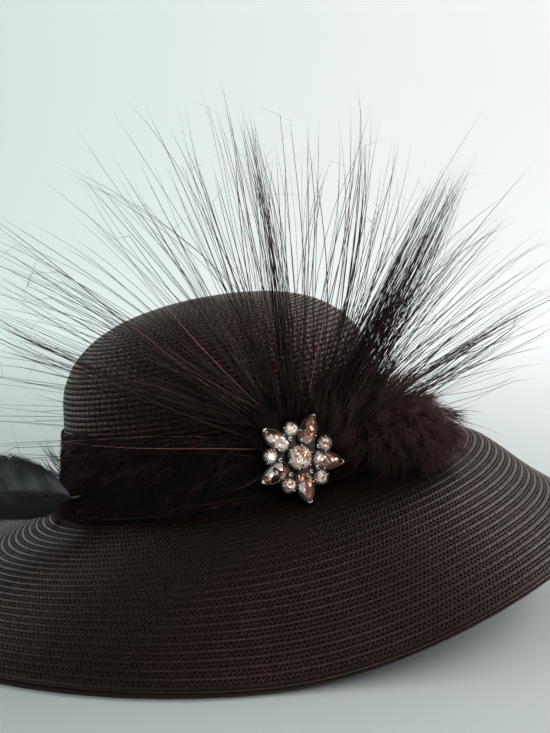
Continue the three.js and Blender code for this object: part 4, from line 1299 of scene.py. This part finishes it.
FLUFF = (
    # stems, count, length, spread, droop, thick
    (soft_stem, 360, 15, 1.3, 1.0, 0.24),
    (edges[:1], 420, 7, 1.3, 1.0, 0.24),
    (edges[1:], 620, 9, 1.3, 1.0, 0.24),
    (beside_seat, 34, 17, 0.32, -4.0, 0.34),
)
for row in FLUFF:
    fluff_paths, fluff_radius, _ = barbs(*row, segments=FLUFF_SEGMENTS)
    bodies.append(spikes(above_brim(fluff_paths, 0.8), fluff_radius))
bodies.append(shaft_body)

# %% Shades of the feather
# Painted light: the upper vane's barbs are lighter near the root, as a painted highlight, and the lower
# vane's get 0.22 of that, as painted shade. Each barb also gets dimmer towards its edge, and the mottle
# varies it in patches.
towards_edge = np.append(np.repeat(np.linspace(1.2, 0.6, VANE_POINTS - 1), 3), 0.5)
across_vane = np.append(np.repeat(np.arange(VANE_POINTS - 1), 3), VANE_POINTS - 1)
barb_number = np.arange(2 * VANE_BARBS)[:, None]
mottle = 1 + (0.5 * np.sin(barb_number * 0.19 + across_vane)
              * np.sin(barb_number * 0.067 - 0.6 * across_vane + 1))
root_highlight = np.linspace(1, 0.3, VANE_BARBS)
patchy = 1 + 0.35 * np.sin(np.arange(VANE_BARBS) * 0.21) * np.sin(np.arange(VANE_BARBS) * 0.047 + 1)
barb_shade = (np.concatenate([root_highlight * patchy, 0.22 * root_highlight])
              * rng.uniform(0.6, 1.0, 2 * VANE_BARBS))
fluff_shade = rng.uniform(0, 0.5, sum(row[1] for row in FLUFF))
shade = np.concatenate([(barb_shade[:, None] * towards_edge * mottle).ravel(),
                        np.repeat(fluff_shade, 3 * FLUFF_SEGMENTS + 1),
                        np.full(len(shaft_body[0]), 0.25)])
points, quads, tris = joined(bodies)
make_piece("vane_feather", points, [quads, tris], vane, nodes=("wing_feather",), shade=shade)

# %% [markdown]
# ## The brooch
#
# A star of five pear-shaped stones and six round ones, each in a cup with claws. Such stones are cut
# glass on silver foil, so they flash white or show the foil's warm colour, facet by facet. The facets are
# flat faces; the finish paints cells on them in three colours, a dark tone, the foil's tint and a white
# flash that is a painted glint, and adds a hard gloss.

# %% Stone and metal finishes
def stone_finish(name, cell, dark, tint, painted_flash, **values):
    """Cells of three colours, each about cell mm wide: a dark tone, the foil's tint and a white flash
    that is a painted glint.
    """
    finish, tree, shader = new_finish(name, Coat_Weight=0.7, Coat_Roughness=0.02, Coat_IOR=1.6, **values)
    place = add(tree, "ShaderNodeTexCoord")
    cells = add(tree, "ShaderNodeTexVoronoi", {"Vector": place.outputs["Object"],
                                               "Scale": 1 / (cell * MM)})
    pick = add(tree, "ShaderNodeValToRGB", {"Fac": cells.outputs["Color"]})
    ramp = pick.color_ramp
    ramp.interpolation = "CONSTANT"
    ramp.elements[0].color = colour(dark)
    ramp.elements[1].position, ramp.elements[1].color = 0.62, colour(painted_flash)
    ramp.elements.new(0.34).color = colour(tint)
    tree.links.new(pick.outputs[0], shader.inputs["Base Color"])
    tilt = add(tree, "ShaderNodeBump", {"Height": cells.outputs["Distance"], "Strength": 0.6,
                                        "Distance": 0.0006})
    tree.links.new(tilt.outputs[0], shader.inputs["Normal"])
    return finish


# Painted glints: the third colour of each stone is a white flash.
clear_stone = stone_finish("foiled_clear_crystal", 1.3, "#a8765c", "#fbd9c2", "#fff5ee",
                           Roughness=0.15, Metallic=0.4)
smoky_stone = stone_finish("foiled_smoky_crystal", 3.4, "#43281e", "#a5705e", "#f8e6dd",
                           Roughness=0.1, Metallic=0.5)
silver, tree, shader = new_finish("rhodium_plated_brass", Roughness=0.16, Metallic=1.0)
shader.inputs["Base Color"].default_value = colour("#ded9d3")
dark_silver, tree, shader = new_finish("dark_silver_finish", Roughness=0.4, Metallic=0.9)
wear = add(tree, "ShaderNodeTexNoise", {"Vector": add(tree, "ShaderNodeTexCoord").outputs["Object"],
                                        "Scale": 900.0, "Detail": 3.0})
rubbed = add(tree, "ShaderNodeMix", {"Factor": wear.outputs[0], "A": colour("#141110"),
                                     "B": colour("#4d4641")}, data_type="RGBA")
tree.links.new(rubbed.outputs["Result"], shader.inputs["Base Color"])

# %% Outlines placed on the brooch's plane
def placed(outline, seat, height, shrink=1.0, grow=0.0):
    """An outline scaled, grown outwards, turned to the seat's angle and moved out along it."""
    angle, distance = math.radians(seat["angle"]), seat["distance"]
    size = np.linalg.norm(outline, axis=-1, keepdims=True)
    flat_points = outline * shrink * (1 + grow / np.maximum(size, 1e-6))
    c, s = math.cos(angle), math.sin(angle)
    turned = flat_points @ np.array([[c, s], [-s, c]]) + distance * np.array([c, s])
    return np.concatenate([turned, np.full((len(turned), 1), height)], 1)


def circle(radius, count, start=0.0):
    """Points of a circle, evenly spaced from a starting turn."""
    turn = (np.arange(count) + start) * math.tau / count
    return radius * np.stack([np.cos(turn), np.sin(turn)], 1)


PEAR_LENGTH = 14.6
PEAR_WIDTH = 8


def pear_edge(turn):
    """x = half length x cos t, y = half width x sin t x (1 - 0.42 cos t) x 0.93."""
    return np.stack([PEAR_LENGTH / 2 * np.cos(turn),
                     PEAR_WIDTH / 2 * np.sin(turn) * (1 - 0.42 * np.cos(turn)) * 0.93], 1)


def pear(count, start=0.0):
    """Points of a pear's outline, evenly spaced in turn from a starting turn."""
    return pear_edge((np.arange(count) + start) * math.tau / count)


# %% Stones with a table, star facets, kites, a girdle and a point
def fan_faces(count, rings, twist):
    """Triangles between rings, of which those with a twist are turned by half a step."""
    faces = []
    j = np.arange(count)
    k = (j + 1) % count
    for ring in range(rings - 1):
        a, b = ring * count, (ring + 1) * count
        if twist[ring + 1] > twist[ring]:
            faces += [np.stack([a + j, b + j, a + k], 1), np.stack([a + k, b + j, b + k], 1)]
        else:
            faces += [np.stack([a + j, b + j, b + k], 1), np.stack([a + j, b + k, a + k], 1)]
    return np.concatenate(faces)


CUT = (
    # share of the outline, height as a share of the size, turned by half a step
    (0.52, 0.42, 0), (0.78, 0.27, 1), (0.985, 0.06, 0), (0.985, -0.06, 0), (0.55, -0.34, 1),
)
CUT_DEPTH = 0.58


def cut_stone(outline_of, count, seat):
    """Rings of the cut from the table down, closed by a flat lid and a point."""
    size = seat["size"]
    rings = [placed(outline_of(count, 0.5 * twist), seat, seat["lift"] + high * size, shrink)
             for shrink, high, twist in CUT]
    centre = placed(np.zeros((1, 2)), seat, seat["lift"] + CUT[0][1] * size)
    point = placed(np.zeros((1, 2)), seat, seat["lift"] - CUT_DEPTH * size)
    body = np.concatenate(rings + [centre, point])
    faces = fan_faces(count, len(CUT), [twist for *_, twist in CUT])
    j = np.arange(count)
    k = (j + 1) % count
    low = (len(CUT) - 1) * count
    lid = np.stack([np.full(count, len(body) - 2), j, k], 1)
    base = np.stack([low + j, np.full(count, len(body) - 1), low + k], 1)
    return on_brooch(body), np.concatenate([faces, lid, base])


# %% The star's eleven stones
CENTRE_RADIUS = 5.7
ROUND_RADIUS = 3.3
PEAR_START = 7.1

centre_seat = {"angle": 0, "distance": 0, "lift": 1.6, "size": CENTRE_RADIUS}
round_seats = [{"angle": angle, "distance": distance, "lift": 0.4, "size": ROUND_RADIUS}
               for angle, distance in ((103, 14), (25, 14.7), (-44, 14), (-115, 14), (175, 14))]
pear_seats = [{"angle": angle, "distance": PEAR_START + PEAR_LENGTH / 2, "lift": 0,
               "size": PEAR_WIDTH / 2} for angle in (140, 67, -8, -80, -150)]
points, faces = cut_stone(lambda n, start: circle(CENTRE_RADIUS, n, start), 16, centre_seat)
make_piece("centre_stone", points, [faces], clear_stone,
           nodes=("stone_centre",), smooth=False)
for number, seat in enumerate(round_seats, 1):
    points, faces = cut_stone(lambda n, start: circle(ROUND_RADIUS, n, start), 8, seat)
    make_piece(f"round_stone_{number}", points, [faces], clear_stone,
               nodes=(f"stone_round_{number}",), smooth=False)
for number, seat in enumerate(pear_seats, 1):
    points, faces = cut_stone(pear, 12, seat)
    make_piece(f"pear_stone_{number}", points, [faces], smoky_stone,
               nodes=(f"stone_pear_{number}",), smooth=False)

# %% [markdown]
# The setting stays the imported model's own solid, in dark silver that runs from near black to dark grey
# in patches about a millimetre wide. What catches the eye on the real brooch are its bright claws: little
# curled rings at the inner ends of the stones, and a V over the point of each pear. Plain claws hold the
# sides of the stones. All of them keep the bright plating.

# %% Bright claws
def claw(seat, edge, bends, radius):
    """A bent wire that starts outside a stone's edge and ends over it."""
    path = [placed(edge[None], seat, seat["lift"] + high, grow=out) for high, out in bends]
    return rod(on_brooch(np.concatenate(path)), radius, 6, brooch_up)


# Each bend is (height above the seat, distance outside the edge), foot first.
PEAR_CLAW = ((-2.6, 0.75), (0.9, 0.7), (1.55, -0.5))
ROUND_CLAW = ((-2.6, 0.75), (0.7, 0.65), (1.05, -0.45))
ring_claws = np.array([
    # across, up, in mm from the middle of the star
    (-4.1, 9.2), (1.8, 8.3), (9.8, 5.0), (9.3, 1.6), (-9.6, -0.7), (-5.1, -7.8), (5.3, -6.9),
    (-9.4, 4.4), (8.6, -4.9),
])
RING_RADIUS = 0.85
RING_WIRE = 0.27
bodies = []
for across, up in ring_claws:
    turn = np.linspace(0.5, 5.9, 14)
    loop = np.stack([across + RING_RADIUS * np.cos(turn), up + RING_RADIUS * np.sin(turn),
                     1.5 + 0.35 * np.sin(turn + across)], 1)
    bodies.append(rod(on_brooch(loop), RING_WIRE, 6, facing))
    post = np.array([[across, up, -3.2], [across, up, 0.0], [across * 1.02, up * 1.02, 1.3]])
    bodies.append(rod(on_brooch(post), 0.42, 6, brooch_up))
for seat in pear_seats:
    turn = np.radians(np.array([34, 20, 8, 0, -8, -20, -34]))
    cap_path = placed(pear_edge(turn) + (0.15, 0), seat, 0.75)
    cap_path[:, 2] += 0.5 * np.cos(turn * 2.4)
    bodies.append(rod(on_brooch(cap_path), [0.3, 0.42, 0.55, 0.6, 0.55, 0.42, 0.3], 6, facing))
    for edge in pear_edge(np.radians([105, -105])):
        bodies.append(claw(seat, edge, PEAR_CLAW, [0.36, 0.42, 0.36]))
for seat, claws in [(centre_seat, 6)] + [(seat, 2) for seat in round_seats]:
    for edge in circle(seat["size"], claws, 0.35):
        bodies.append(claw(seat, edge, ROUND_CLAW, [0.34, 0.4, 0.32]))
points, quads, tris = joined(bodies)
make_piece("brooch_claws", points, [quads, tris], silver)

# %% Setting
for slot in bpy.data.objects["brooch_setting"].material_slots:
    slot.material = dark_silver

# %% Size of the imported model and of the dressed hat
({"cad": [list(map(float, corner)) for corner in cad_box],
           "visual": [list(map(float, corner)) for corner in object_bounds()]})
